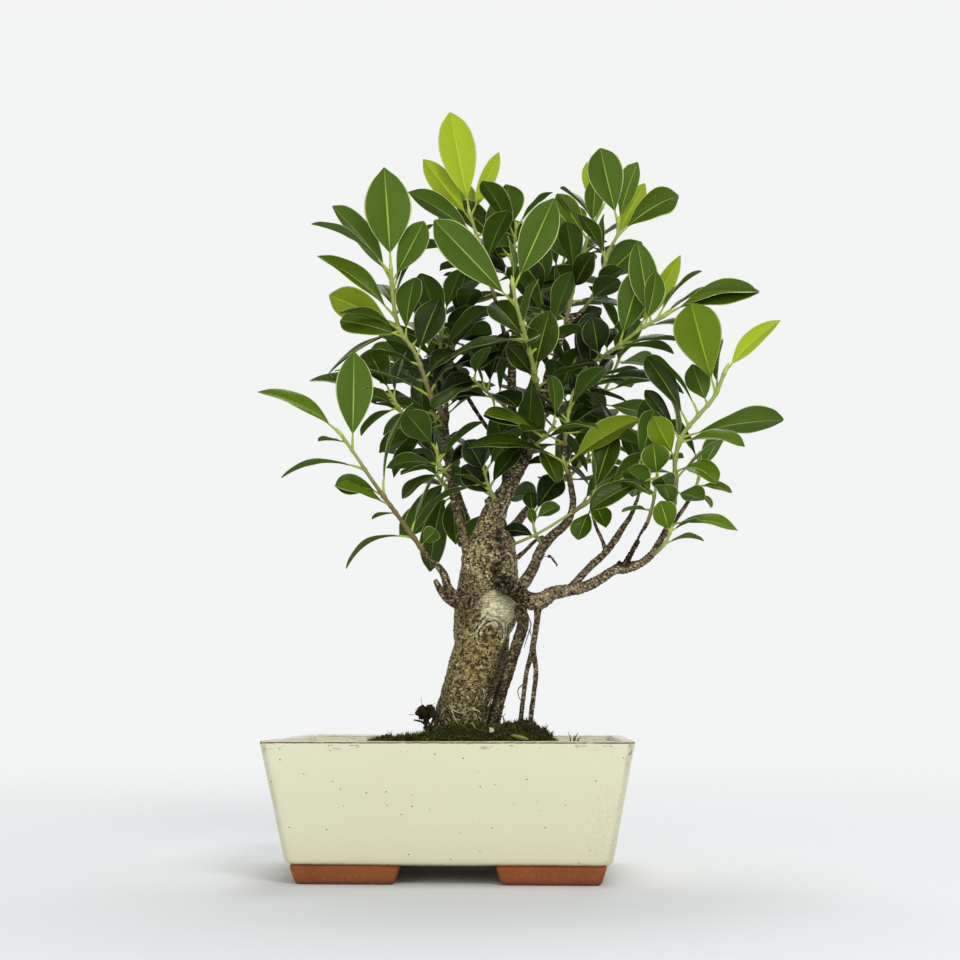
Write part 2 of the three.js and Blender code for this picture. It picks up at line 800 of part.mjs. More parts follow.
// Shoots: on is the limb that each grows from, stem its [px, py, depth] points, and radii its foot and end.
const SHOOTS = {
  left_tip_shoot: {
    stem: [
      [423, 551, -24],
      [412, 535, -32],
      [401, 520, -40],
      [390, 505, -48],
      [372, 480, -56],
      [356, 456, -62],
      [342, 436, -68],
    ],
    radii: [2, 1.2],
    leaves: [
      [1, 257, 392, -4, 19, "upFront", 0.1],
      [0.88, 354, 351, -4, 26, "back", 0.03],
      [0.72, 281, 478, 0, 17, "up", 0.14],
      [0.42, 334, 486, -16, 17, "upFront", 0.05],
      [0.5, 414, 402, 4, 18, "left", 0.1],
      [0.12, 346, 569, 0, 17, "up", 0.2],
      [0.16, 438, 471, 8, 18, "left", 0.04],
      [0.36, 372, 519, 6, 9, "up", 0.06],
      [0.04, 436, 530, -14, 13, "back", 0.05],
      [0.95, 318, 441, 12, 10, "up", 0.05],
    ],
  },
  left_side_shoot: {
    stem: [
      [407, 419, -26],
      [401, 411, -28],
      [396, 403, -30],
      [391, 394, -31],
    ],
    radii: [1.4, 1],
    leaves: [
      [1, 368, 350, 6, 22, "front", 0.05],
      [0.9, 309, 381, 12, 20, "upFront", 0.06],
      [0.5, 361, 436, 4, 17, "up", 0.08],
      [0.75, 372, 403, 20, 12, "up", 0.08],
    ],
    spiral: { count: 3, from: 0.2, to: 0.8, start: 2, length: 46 },
  },
  riser_low_shoot: {
    stem: [
      [450, 478, -12],
      [443, 470, -18],
      [438, 461, -22],
      [437, 450, -24],
    ],
    radii: [1.3, 1],
    leaves: [
      [0.3, 402, 499, -4, 17, "upFront", 0.08],
      [0.5, 386, 468, 4, 15, "upBack", 0.16],
      [1, 405, 412, -22, 22, "back", 0.05],
      [0.7, 462, 430, 22, 18, "left", 0.06],
    ],
    spiral: { count: 3, from: 0.4, to: 0.9, start: 4, length: 48 },
  },
  upper_left_shoot: {
    stem: [
      [446, 420, -14],
      [432, 398, -26],
      [422, 370, -36],
      [414, 351, -41],
      [400, 330, -46],
      [393, 300, -49],
      [391, 270, -51],
    ],
    radii: [2, 1.3],
    leaves: [
      [1, 384, 167, -6, 34, "back", 0.03],
      [0.97, 311, 224, 4, 20, "upRight", 0.1],
      [0.93, 332, 206, 22, 22, "upBack", 0.05],
      [0.7, 317, 256, -8, 24, "upFront", 0.07],
      [0.66, 329, 295, 18, 24, "back", 0.05, 1],
      [0.63, 339, 313, -18, 20, "up", 0.1],
      [0.58, 340, 321, -14, 22, "front", 0.07],
      [0.92, 424, 221, 4, 20, "back", 0.05],
      [0.85, 434, 224, 12, 20, "left", 0.06],
      [0.8, 427, 244, 26, 19, "left", 0.06],
      [0.44, 440, 298, -6, 22, "front", 0.07],
      [0.3, 456, 352, 12, 20, "upFront", 0.1],
    ],
    spiral: { count: 4, from: 0.2, to: 0.75, start: 1, length: 50 },
  },
  inner_left_shoot: {
    stem: [
      [442, 382, -12],
      [440, 362, -8],
      [441, 340, -4],
      [444, 316, 2],
    ],
    radii: [1.5, 1],
    spiral: { count: 8, from: 0.15, start: 1, length: 52 },
  },
  diagonal_shoot: {
    stem: [
      [457, 378, 18],
      [452, 362, 16],
      [454, 342, 12],
      [460, 322, 8],
    ],
    radii: [1.4, 1],
    leaves: [[0.2, 500, 354, -22, 25, "front", 0.05]],
    spiral: { count: 7, from: 0.3, start: 2.4, length: 52 },
  },
  crown_left_shoot: {
    stem: [
      [495, 298, 16],
      [487, 272, 13],
      [478, 240, 9],
      [470, 214, 6],
    ],
    radii: [1.7, 1.2],
    leaves: [
      [1, 450, 112, -4, 27, "back", 0.02, 1],
      [0.9, 423, 159, 8, 17, "back", 0.04, 1],
      [0.97, 499, 152, 12, 12, "back", 0.06, 1],
      [0.7, 408, 192, 6, 20, "upBack", 0.07],
      [0.55, 516, 190, 22, 22, "upBack", 0.06],
      [0.4, 436, 214, 26, 18, "upBack", 0.06],
      [0.3, 440, 270, 22, 20, "up", 0.08],
      [0.8, 458, 176, 34, 18, "back", 0.05, 1],
    ],
    spiral: { count: 3, from: 0.15, to: 0.6, start: 3, length: 52 },
  },
  middle_top_shoot: {
    stem: [
      [511, 299, 36],
      [512, 276, 32],
      [514, 252, 28],
      [516, 228, 24],
    ],
    radii: [1.6, 1.1],
    leaves: [
      [1, 506, 184, 4, 22, "back", 0.05],
    ],
    spiral: { count: 6, from: 0.2, start: 0.6, length: 54 },
  },
  crown_middle_shoot: {
    stem: [
      [539, 404, -6],
      [536, 380, -34],
      [531, 357, -52],
      [523, 328, -68],
      [516, 303, -80],
      [513, 286, -86],
    ],
    radii: [2.2, 1.3],
    leaves: [
      [0.86, 434, 220, -8, 25, "back", 0.04],
      [0.98, 554, 198, -4, 25, "back", 0.04],
      [1, 507, 236, 6, 16, "right", 0.05],
      [0.36, 550, 310, -24, 23, "front", 0.05],
      [0.28, 507, 346, -20, 17, "front", 0.06],
      [0.6, 493, 302, 20, 20, "front", 0.06],
    ],
    spiral: { count: 4, from: 0.2, to: 0.7, start: 0, length: 50 },
  },
  leader_right_shoot: {
    stem: [
      [556, 358, 4],
      [552, 340, 12],
      [546, 318, 18],
      [541, 296, 22],
    ],
    radii: [1.5, 1],
    leaves: [[0.9, 525, 260, -16, 20, "front", 0.05]],
    spiral: { count: 7, from: 0.2, start: 3.2, length: 52 },
  },
  crown_right_front_shoot: {
    stem: [
      [582, 312, 6],
      [596, 290, 0],
      [602, 272, -6],
      [609, 250, -12],
      [617, 236, -17],
      [618, 224, -18],
    ],
    radii: [1.6, 1.1],
    leaves: [
      [1, 600, 148, -20, 26, "back", 0.03],
      [0.92, 681, 198, -12, 26, "back", 0.06],
      [0.6, 604, 214, 8, 17, "left", 0.04],
      [0.35, 642, 242, -8, 23, "back", 0.05],
      [0.12, 619, 279, -22, 20, "upBack", 0.06],
      [0.97, 638, 162, 18, 18, "upBack", 0.05],
      [0.8, 645, 183, 14, 14, "back", 0.04, 1],
    ],
    spiral: { count: 3, from: 0.2, to: 0.6, start: 5, length: 48 },
  },
  crown_right_back_shoot: {
    stem: [
      [565, 328, 8],
      [571, 298, 22],
      [580, 262, 36],
      [592, 228, 48],
      [602, 208, 56],
    ],
    radii: [2, 1.3],
    leaves: [
      [0.95, 587, 162, 4, 14, "back", 0.04, 1],
      [0.82, 596, 178, -10, 16, "back", 0.04],
      [0.72, 556, 195, -8, 18, "front", 0.05],
      [0.87, 560, 188, 14, 15, "up", 0.06],
      [0.5, 551, 226, -4, 18, "upLeft", 0.06],
      [0.3, 594, 252, -26, 19, "front", 0.05],
      [0.22, 556, 262, -22, 18, "left", 0.05],
      [1, 625, 178, 20, 18, "upBack", 0.05],
      [0.6, 620, 226, 26, 20, "up", 0.05],
    ],
    spiral: { count: 3, from: 0.15, to: 0.6, start: 2, length: 52 },
  },
  right_upper_shoot: {
    stem: [
      [548, 372, 0],
      [572, 368, -12],
      [598, 359, -24],
      [618, 346, -38],
      [642, 328, -52],
      [664, 316, -60],
    ],
    radii: [1.9, 1.2],
    leaves: [
      [1, 760, 292, -10, 21, "upFront", 0.09],
      [0.62, 642, 269, -10, 22, "back", 0.04],
      [0.9, 637, 240, 8, 20, "upBack", 0.06],
      [0.95, 702, 271, 8, 17, "up", 0.09],
      [0.97, 718, 286, 16, 16, "up", 0.06],
      [0.55, 674, 354, 8, 18, "up", 0.1],
      [0.42, 592, 317, -18, 20, "front", 0.06],
      [0.78, 660, 238, 24, 14, "back", 0.05, 1],
      [0.5, 606, 330, 22, 18, "up", 0.07],
      [0.85, 700, 331, -6, 14, "upFront", 0.1],
    ],
    spiral: { count: 4, from: 0.2, to: 0.85, start: 1.5, length: 50 },
  },
  right_inner_shoot: {
    stem: [
      [541, 412, -3],
      [556, 396, -6],
      [572, 384, -10],
      [592, 382, -14],
    ],
    radii: [1.9, 1.2],
    leaves: [
      [1, 684, 394, -8, 20, "upFront", 0.12],
      [0.9, 641, 372, 8, 18, "up", 0.08],
      [0.7, 598, 316, 10, 20, "front", 0.04],
    ],
    spiral: { count: 5, from: 0.3, start: 4, length: 50 },
  },
  right_shoot: {
    stem: [
      [667, 529, -28],
      [673, 508, -32],
      [676, 484, -38],
      [675, 462, -44],
      [682, 436, -52],
      [698, 416, -60],
      [714, 397, -66],
      [724, 374, -72],
    ],
    radii: [2.1, 1.5],
    leaves: [
      [0.88, 691, 303, -8, 33, "back", 0.05, 1],
      [1, 781, 320, 4, 16, "upBack", 0.07, 1],
      [0.9, 723, 338, 22, 14, "left", 0.04],
      [0.8, 692, 364, 20, 17, "back", 0.05],
      [0.55, 784, 420, 14, 24, "upBack", 0.06],
      [0.52, 745, 447, -10, 20, "upFront", 0.12],
      [0.42, 653, 416, -14, 18, "back", 0.05, 1],
      [0.34, 717, 484, -20, 22, "upFront", 0.22],
      [0.16, 662, 476, -16, 17, "back", 0.06],
      [0.02, 738, 531, 4, 18, "upFront", 0.12],
      [0.72, 646, 357, 18, 20, "upRight", 0.1],
      [0.22, 704, 500, 14, 17, "upBack", 0.06],
    ],
    spiral: { count: 3, from: 0.1, to: 0.5, start: 4, length: 48 },
  },
  right_low_spur_shoot: {
    stem: [
      [653, 555, -29],
      [661, 548, -33],
      [667, 540, -36],
      [670, 532, -38],
    ],
    radii: [1.7, 1.1],
    leaves: [
      [0.5, 704, 541, -2, 14, "up", 0.14],
      [0.95, 660, 501, -12, 18, "front", 0.05],
      [1, 700, 520, 22, 14, "up", 0.08],
    ],
  },
  right_spur_middle_shoot: {
    stem: [
      [647, 524, -39],
      [652, 508, -41],
      [655, 492, -42],
      [657, 478, -43],
    ],
    radii: [1.6, 1.1],
    leaves: [
      [1, 653, 443, -8, 20, "front", 0.05],
      [0.6, 626, 470, -10, 20, "upBack", 0.12],
      [0.3, 622, 512, -8, 12, "up", 0.08],
    ],
  },
  right_spur_outer_shoot: {
    stem: [
      [692, 496, -6],
      [697, 484, 8],
      [700, 470, 20],
      [700, 456, 28],
    ],
    radii: [1.5, 1.1],
    leaves: [
      [0.3, 732, 493, -4, 13, "upFront", 0.1],
      [0.1, 711, 508, -6, 12, "up", 0.12],
    ],
    spiral: { count: 4, from: 0.5, start: 5.2, length: 46 },
  },
  right_spur_inner_shoot: {
    stem: [
      [637, 501, -14],
      [641, 484, -4],
      [642, 464, 8],
      [640, 444, 16],
    ],
    radii: [1.4, 1],
    spiral: { count: 6, from: 0.25, start: 1.8, length: 48 },
  },
  right_spur_twig_shoot: {
    stem: [
      [593, 518, -10],
      [591, 504, -4],
      [592, 488, 2],
      [596, 470, 6],
    ],
    radii: [1.2, 0.9],
    leaves: [
      [0.2, 578, 540, -10, 16, "upFront", 0.08],
      [0.4, 606, 528, -14, 15, "upFront", 0.06],
    ],
    spiral: { count: 4, from: 0.45, start: 0.4, length: 46 },
  },
  right_middle_shoot: {
    stem: [
      [564, 446, -25],
      [566, 432, -27],
      [569, 410, -29],
      [572, 396, -30],
    ],
    radii: [1.8, 1],
    leaves: [
      [0.04, 483, 416, -20, 24, "upFront", 0.06],
      [0.7, 600, 376, 14, 12, "up", 0.06, 1],
    ],
    spiral: { count: 4, from: 0.3, to: 0.9, start: 0.5, length: 46 },
  },
  right_middle_front_shoot: {
    stem: [
      [568, 474, -22],
      [566, 468, -28],
      [564, 461, -32],
    ],
    radii: [1.5, 1],
    leaves: [
      [0.9, 467, 448, -12, 20, "upFront", 0.12],
      [0.7, 640, 419, -10, 22, "upBack", 0.08, 1],
    ],
  },
  right_middle_side_shoot: {
    stem: [
      [573, 512, -14],
      [586, 503, -20],
      [604, 492, -26],
      [622, 480, -30],
      [641, 467, -33],
    ],
    radii: [1.9, 1.3],
    leaves: [
      [0.2, 652, 474, -14, 22, "upFront", 0.04],
      [0.15, 626, 472, 12, 22, "upBack", 0.16],
      [0.3, 614, 431, 12, 19, "front", 0.05],
      [0.5, 648, 455, 14, 16, "upBack", 0.06],
    ],
    spiral: { count: 4, from: 0.3, to: 0.95, start: 2.5, length: 48 },
  },
  right_middle_low_shoot: {
    stem: [
      [543, 548, 2],
      [538, 538, -8],
      [534, 528, -14],
      [533, 516, -16],
    ],
    radii: [1.4, 1],
    leaves: [
      [0.8, 502, 529, 6, 14, "upFront", 0.06],
      [1, 530, 492, -2, 12, "front", 0.04],
      [0.9, 560, 506, -4, 14, "upBack", 0.08],
    ],
  },
  leader_low_shoot: {
    stem: [
      [500, 506, 6],
      [492, 494, -8],
      [487, 482, -14],
      [484, 468, -16],
    ],
    radii: [1.6, 1.1],
    leaves: [
      [0.35, 462, 466, -12, 22, "front", 0.05],
      [1, 432, 433, 4, 18, "up", 0.1],
      [0.9, 466, 440, 12, 18, "front", 0.06],
      [0.6, 520, 452, 4, 18, "upFront", 0.06],
    ],
    spiral: { count: 2, from: 0.5, to: 0.9, start: 3, length: 46 },
  },
  middle_front_shoot: {
    stem: [
      [512, 414, 26],
      [500, 402, 6],
      [487, 392, -20],
      [474, 380, -40],
    ],
    radii: [1.5, 1],
    spiral: { count: 6, from: 0.35, start: 0.9, length: 52 },
  },
  leader_side_shoot: {
    stem: [
      [536, 426, 0],
      [548, 414, 10],
      [562, 398, 18],
      [578, 384, 24],
    ],
    radii: [1.6, 1],
    spiral: { count: 6, from: 0.3, start: 2.7, length: 52 },
  },
  leader_front_shoot: {
    stem: [
      [527, 456, 2],
      [534, 446, -16],
      [546, 436, -38],
      [554, 424, -54],
    ],
    radii: [1.4, 1],
    spiral: { count: 5, from: 0.4, start: 5, length: 44 },
  },
  left_inner_side_shoot: {
    stem: [
      [446, 426, -11],
      [434, 414, 6],
      [423, 400, 22],
      [415, 384, 34],
    ],
    radii: [1.5, 1],
    spiral: { count: 6, from: 0.3, start: 3.4, length: 52 },
  },
  back_left_low_shoot: {
    stem: [
      [458, 496, 60],
      [446, 486, 58],
      [436, 474, 58],
      [430, 458, 60],
    ],
    radii: [1.7, 1.1],
    leaves: [
      [0.3, 430, 572, -10, 20, "upFront", 0.1],
      [0.15, 456, 545, -18, 18, "front", 0.06],
    ],
    spiral: { count: 6, from: 0.3, start: 2.2, length: 52 },
  },
  back_left_shoot: {
    stem: [
      [446, 426, 96],
      [440, 400, 104],
      [434, 370, 110],
      [430, 340, 112],
    ],
    radii: [1.8, 1.1],
    spiral: { count: 8, from: 0.1, start: 0.2, length: 56 },
  },
  back_right_low_shoot: {
    stem: [
      [541, 494, 66],
      [556, 486, 64],
      [572, 474, 66],
      [588, 458, 72],
    ],
    radii: [1.7, 1.1],
    leaves: [[0.2, 553, 478, -30, 23, "front", 0.05]],
    spiral: { count: 6, from: 0.3, start: 3.6, length: 54 },
  },
  back_right_shoot: {
    stem: [
      [588, 422, 100],
      [604, 392, 106],
      [618, 362, 108],
      [626, 332, 104],
    ],
    radii: [1.8, 1.1],
    spiral: { count: 8, from: 0.1, start: 1.4, length: 56 },
  },
  back_middle_shoot: {
    stem: [
      [546, 331, 94],
      [552, 304, 98],
      [560, 274, 96],
      [568, 246, 90],
    ],
    radii: [1.7, 1.1],
    spiral: { count: 9, from: 0.1, start: 4.4, length: 56, young: 1 },
  },
};

const overlapsBox = (a, b) =>
  a.min.every((low, i) => low <= b.max[i] && b.min[i] <= a.max[i]);

// Everything that a new leaf has to stay clear of.
class Crowd {
  members = [];

  add(solid, owner = null) {
    this.members.push({ solid, owner, box: solid.boundingBox() });
  }

  clear(solid, except = null) {
    const box = solid.boundingBox();
    return this.members.every(
      (one) =>
        one.owner === except ||
        !overlapsBox(one.box, box) ||
        one.solid.intersect(solid).isEmpty(),
    );
  }
}

function growShoots(fences) {
  const crowd = new Crowd();
  fences.forEach((fence) => crowd.add(fence));
  const shoots = Object.entries(SHOOTS).map(([name, shoot]) => {
    const path = shoot.stem.map(([px, py, depth]) => seen(px, py, depth));
    const [thick, thin] = shoot.radii;
    const radii = path.map((_, i) =>
      THREE.MathUtils.lerp(thick, thin, i / (path.length - 1)),
    );
    const curve = new THREE.CatmullRomCurve3(path, false, "centripetal");
    const bud = BUD * thin;
    const stem = toSolid(limb(path, radii, { sides: 5, point: bud }));
    crowd.add(
      toSolid(limb(path, radii, { sides: 5, point: bud, grow: GAP })),
      name,
    );
    return { name, shoot, curve, stem, leaves: [] };
  });
  const fits = (leaf, own) =>
    crowd.clear(leafSolid(leaf, CLEARANCE, BLADE.petiole / 2), own) &&
    crowd.clear(bladeSolid(leaf, CLEARANCE));
  const place = (shoot, choices) => {
    const leaf = choices.find((one) => fits(one, shoot.name));
    if (!leaf) return;
    shoot.leaves.push(leafSolid(leaf));
    crowd.add(leafSolid(leaf));
  };
  // The leaves that the photograph shows take their places first.
  for (const one of shoots)
    for (const spec of one.shoot.leaves ?? []) place(one, sightedLeaf(one.curve, spec));
  for (const one of shoots)
    if (one.shoot.spiral)
      for (const choices of spiralLeaves(one.curve, one.shoot.spiral)) place(one, choices);
  return shoots.map(({ name, stem, leaves }) => [
    name,
    cutBy(join([stem, ...leaves]), fences),
  ]);
}

// ---------------------------------------------------------------- ground

function makeSoil() {
  const { cove } = POT;
  const inset = POT.wall + GAP + SOIL.slack;
  return toSolid(
    tapered(
      [
        sectionAt(POT_FLOOR + GAP, inset + cove.inset, cove.corner),
        sectionAt(POT_FLOOR + cove.height, inset, cove.corner),
        sectionAt(SOIL_TOP, inset, cove.corner),
      ],
      1,
    ),
  );
}

// A dried tuft that stands left of the trunk, and a grain of white grit in front of it.
const TUFT = [
  { run: [[432, 744, -12, 2.6], [430, 726, -12, 2.2], [425, 716, -12, 1.6], [419, 709, -13, 1]] },
  { run: [[430, 728, -12, 1.8], [434, 716, -14, 1.3], [433, 707, -15, 0.9]] },
  { run: [[430, 730, -12, 1.8], [422, 722, -10, 1.2], [414, 720, -9, 0.8]] },
];
const GRIT = { at: [492, 733], depth: -36, size: [3.6, 3, 2.6] };

function makeGrit(grow = 0) {
  const { at, depth, size } = GRIT;
  const stone = new THREE.IcosahedronGeometry(1, 0).scale(...size.map((half) => half + grow));
  return toSolid(stone).translate(seen(...at, depth).toArray());
}

// Moss cushions: [px, depth] of the middle, and half sizes along X, along Y and up.
const MOSS = {
  moss_front: { at: [476, -22], size: [46, 26, 15] },
  moss_right: { at: [532, -10], size: [24, 24, 20] },
  moss_left: { at: [405, -8], size: [26, 22, 8] },
};

function mossCushion({ at: [px, depth], size }) {
  const ball = new THREE.SphereGeometry(1, 10, 6).rotateX(Math.PI / 2);
  const base = SOIL_TOP + GAP;
  const middle = seen(px, VIEW.rimRow, depth);
  const below = toSolid(
    new THREE.BoxGeometry(POT.length, POT.length, POT.height),
  ).translate([0, 0, base - POT.height / 2]);
  return toSolid(ball.scale(...size))
    .translate([middle.x, depth, base])
    .subtract(below);
}

// ---------------------------------------------------------------- assembly

const MATERIALS = {
  pot: { color: 0xdedcbc, roughness: 0.35 },
  screen: { color: 0x20262a, roughness: 0.6 },
  clip: { color: 0xb8bcc0, roughness: 0.4, metalness: 0.9 },
  soil: { color: 0x2e241b, roughness: 1 },
  moss: { color: 0x33421c, roughness: 1 },
  bark: { color: 0x857350, roughness: 0.85 },
  shoot: { color: 0x3d6b22, roughness: 0.45 },
  tuft: { color: 0x4a4030, roughness: 1 },
  grit: { color: 0xe8e4d8, roughness: 0.9 },
};

const tree = new THREE.Group();
tree.name = "bonsai";

function addPiece(name, solid, look) {
  const mesh = new THREE.Mesh(
    toGeometry(solid),
    new THREE.MeshStandardMaterial(MATERIALS[look]),
  );
  mesh.name = name;
  tree.add(mesh);
}

addPiece("pot", makePot(), "pot");
for (const [side, end] of [[-1, "left"], [1, "right"]]) {
  addPiece(`drain_screen_${end}`, makeScreen(side), "screen");
  addPiece(`screen_clip_${end}`, makeClip(side), "clip");
}

const { grown, fences } = growWood();
fences.push(woodSolid(TUFT, GAP), makeGrit(GAP));
for (const [name, solid] of Object.entries(grown)) addPiece(name, solid, "bark");

const pockets = [-1, 1].map((side) =>
  toSolid(
    new THREE.BoxGeometry(POCKET.side, POCKET.side, POCKET.height),
  ).translate([side * DRAIN.x, 0, POT_FLOOR]),
);
const soil = cutBy(makeSoil(), [...fences, ...pockets]);
addPiece("soil", soil, "soil");
addPiece("dry_tuft", woodSolid(TUFT), "tuft");
addPiece("grit_stone", makeGrit(), "grit");

const mossFences = [...fences];
for (const [name, cushion] of Object.entries(MOSS)) {
  const whole = mossCushion(cushion);
  addPiece(name, cutBy(whole, mossFences), "moss");
  mossFences.push(
    mossCushion({ ...cushion, size: cushion.size.map((half) => half + GAP) }),
  );
}

for (const [name, solid] of growShoots(fences)) addPiece(name, solid, "shoot");

const outline = new THREE.Box3().setFromObject(tree);
const middle = outline.getCenter(new THREE.Vector3());
tree.position.set(-middle.x, -middle.y, 0);

export default tree;
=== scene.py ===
"""A small-leaved fig grown as a bonsai in a glazed pot: the looks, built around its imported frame.

Metres, in the frame's axes: +Z up, and the pot's front faces -Y. Sizes are written in millimetres
and brought in with MM.
"""

import math

import bmesh
import bpy
import numpy as np
from mathutils import Matrix, Vector, noise
from mathutils.kdtree import KDTree


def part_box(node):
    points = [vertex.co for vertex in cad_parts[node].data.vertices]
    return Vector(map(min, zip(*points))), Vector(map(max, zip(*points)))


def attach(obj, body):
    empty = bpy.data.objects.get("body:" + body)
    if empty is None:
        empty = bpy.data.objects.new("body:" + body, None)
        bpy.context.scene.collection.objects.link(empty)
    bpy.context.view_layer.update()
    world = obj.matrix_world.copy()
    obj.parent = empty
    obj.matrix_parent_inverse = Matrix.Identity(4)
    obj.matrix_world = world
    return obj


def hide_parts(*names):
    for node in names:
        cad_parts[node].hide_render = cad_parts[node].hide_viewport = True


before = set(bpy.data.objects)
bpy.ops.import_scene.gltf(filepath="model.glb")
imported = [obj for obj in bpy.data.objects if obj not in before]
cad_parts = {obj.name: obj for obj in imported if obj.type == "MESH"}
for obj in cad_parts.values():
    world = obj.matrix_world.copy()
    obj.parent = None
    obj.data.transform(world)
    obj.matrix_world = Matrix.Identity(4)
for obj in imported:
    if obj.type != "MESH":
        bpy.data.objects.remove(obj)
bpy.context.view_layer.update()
for name in ("Cube", "Light", "Camera"):
    if name in bpy.data.objects:
        bpy.data.objects.remove(bpy.data.objects[name])

MM = 0.001
RANDOM = np.random.default_rng(7)

# ---------------------------------------------------------------- the photograph's view

# Pixels count from the top left of the square photograph, and depths are millimetres behind the
# pot's middle. The camera's place is in millimetres from the middle of the pot's footprint, it is
# turned to its left and tilted up, and its focal length is in pixels.
PHOTO_SIDE = 960
EYE = (62.5, -1000, 117)
TURN = math.radians(2.55)
TILT = math.radians(9)
FOCAL = 1400

LEVEL = np.array([-math.sin(TURN), math.cos(TURN), 0])
RIGHT = np.array([math.cos(TURN), math.sin(TURN), 0])
UP = np.array([0, 0, 1])
AHEAD = LEVEL * math.cos(TILT) + UP * math.sin(TILT)
OVER = UP * math.cos(TILT) - LEVEL * math.sin(TILT)

pot_low, pot_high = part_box("pot")
MIDDLE = np.array([(pot_low.x + pot_high.x) / 2, (pot_low.y + pot_high.y) / 2, 0])


def link(piece):
    bpy.context.scene.collection.objects.link(piece)
    return piece


def from_pot(x, y, z):
    """A point in metres, from millimetres measured from the middle of the pot's footprint."""
    return MIDDLE + np.array([x, y, z]) * MM


def seen(px, py, depth):
    """The point at a pixel of the photograph, at a depth behind the pot's middle."""
    line = AHEAD + RIGHT * (px - PHOTO_SIDE / 2) / FOCAL + OVER * (PHOTO_SIDE / 2 - py) / FOCAL
    eye = from_pot(*EYE)
    return eye + line * (MIDDLE[1] + depth * MM - eye[1]) / line[1]


def make_camera():
    data = bpy.data.cameras.new("camera")
    data.sensor_width = 36
    data.lens = data.sensor_width * FOCAL / PHOTO_SIDE
    data.clip_start = 0.01
    data.clip_end = 100
    camera = link(bpy.data.objects.new("camera", data))
    camera.location = from_pot(*EYE)
    camera.rotation_euler = (math.pi / 2 + TILT, 0, TURN)
    bpy.context.scene.camera = camera


# ---------------------------------------------------------------- meshes


class Shape:
    """Points and faces gathered from many parts, with named vectors at the points."""

    def __init__(self):
        self.points = []
        self.quads = []
        self.triangles = []
        self.marks = []
        self.count = 0

    def add(self, points, quads=(), triangles=(), **marks):
        points = np.asarray(points, float).reshape(-1, 3)
        self.points.append(points)
        self.quads.append(np.asarray(quads, int).reshape(-1, 4) + self.count)
        self.triangles.append(np.asarray(triangles, int).reshape(-1, 3) + self.count)
        self.marks.append({k: np.broadcast_to(v, points.shape) for k, v in marks.items()})
        self.count += len(points)

    def mesh(self, name):
        quads = np.concatenate(self.quads)
        triangles = np.concatenate(self.triangles)
        corners = np.concatenate([quads.ravel(), triangles.ravel()])
        ends = quads.size + np.arange(len(triangles)) * 3
        starts = np.concatenate([np.arange(len(quads)) * 4, ends])
        mesh = bpy.data.meshes.new(name)
        mesh.vertices.add(self.count)
        mesh.vertices.foreach_set("co", np.concatenate(self.points).ravel())
        mesh.loops.add(len(corners))
        mesh.loops.foreach_set("vertex_index", corners)
        mesh.polygons.add(len(starts))
        mesh.polygons.foreach_set("loop_start", starts)
        mesh.update(calc_edges=True)
        for key in self.marks[0]:
            set_mark(mesh, key, np.concatenate([marks[key] for marks in self.marks]))
        mesh.shade_smooth()
        return mesh


def place_object(name, mesh, material, slot, *nodes):
    """A piece of the plant from a mesh or a Shape, which takes the place of the CAD nodes named."""
    if isinstance(mesh, Shape):
        mesh = mesh.mesh(name)
    piece = link(bpy.data.objects.new(name, mesh))
    mesh.materials.clear()
    mesh.materials.append(material)
    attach(piece, "root")
    if nodes:
        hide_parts(*nodes)


def ring_faces(rings, sides):
    """Quads between rings of points, outwards where the rings turn with the thumb along them."""
    first = np.arange(rings - 1)[:, None] * sides
    low = (first + np.arange(sides)).ravel()
    following = (first + (np.arange(sides) + 1) % sides).ravel()
    return np.stack([low, following, following + sides, low + sides], axis=1)


def cap_faces(first, sides, tip, flip=False):
    """Triangles from a ring of points to one point, called tip."""
    ring = first + np.arange(sides)
    after = first + (np.arange(sides) + 1) % sides
    ends = np.full(sides, tip)
    return np.stack([after, ring, ends] if flip else [ring, after, ends], axis=1)


def closed_faces(rings, sides, flip=False):
    """Quads and triangles of a closed skin: rings, then a point at their foot and one at their tip."""
    count = rings * sides
    foot = cap_faces(0, sides, count, not flip)
    tip = cap_faces(count - sides, sides, count + 1, flip)
    quads = ring_faces(rings, sides)
    return quads[:, ::-1] if flip else quads, np.concatenate([foot, tip])


def unit_rows(rows):
    """Each row as a direction one unit long."""
    return rows / np.linalg.norm(rows, axis=1)[:, None]


CURVE_SPANS = 24  # straight pieces from one stop of a curve to the next


def smooth_path(points, step):
    """Evenly spaced points of a centripetal Catmull-Rom curve, and their place along the list."""
    points = np.asarray(points, float)
    ends = 2 * points[0] - points[1], 2 * points[-1] - points[-2]
    control = np.vstack([ends[0], points, ends[1]])
    found, place = [], []
    for i in range(len(points) - 1):
        a, b, c, d = control[i : i + 4]
        before, along, after = (
            max(np.linalg.norm(q - p) ** 0.5, 1e-6) for p, q in ((a, b), (b, c), (c, d))
        )
        start = (b - a) / before - (c - a) / (before + along) + (c - b) / along
        finish = (c - b) / along - (d - b) / (along + after) + (d - c) / after
        t = np.linspace(0, 1, CURVE_SPANS, endpoint=False)[:, None]
        start, finish = start * along, finish * along
        found.append(
            b
            + start * t
            + (3 * (c - b) - 2 * start - finish) * t**2
            + (2 * (b - c) + start + finish) * t**3
        )
        place.append(i + t[:, 0])
    found = np.vstack([*found, points[-1:]])
    place = np.append(np.concatenate(place), len(points) - 1)
    far = np.append(0, np.cumsum(np.linalg.norm(np.diff(found, axis=0), axis=1)))
    count = max(3, round(far[-1] / step) + 1)
    at = np.linspace(0, far[-1], count)
    path = np.stack([np.interp(at, far, found[:, k]) for k in range(3)], axis=1)
    return path, np.interp(at, far, place), at


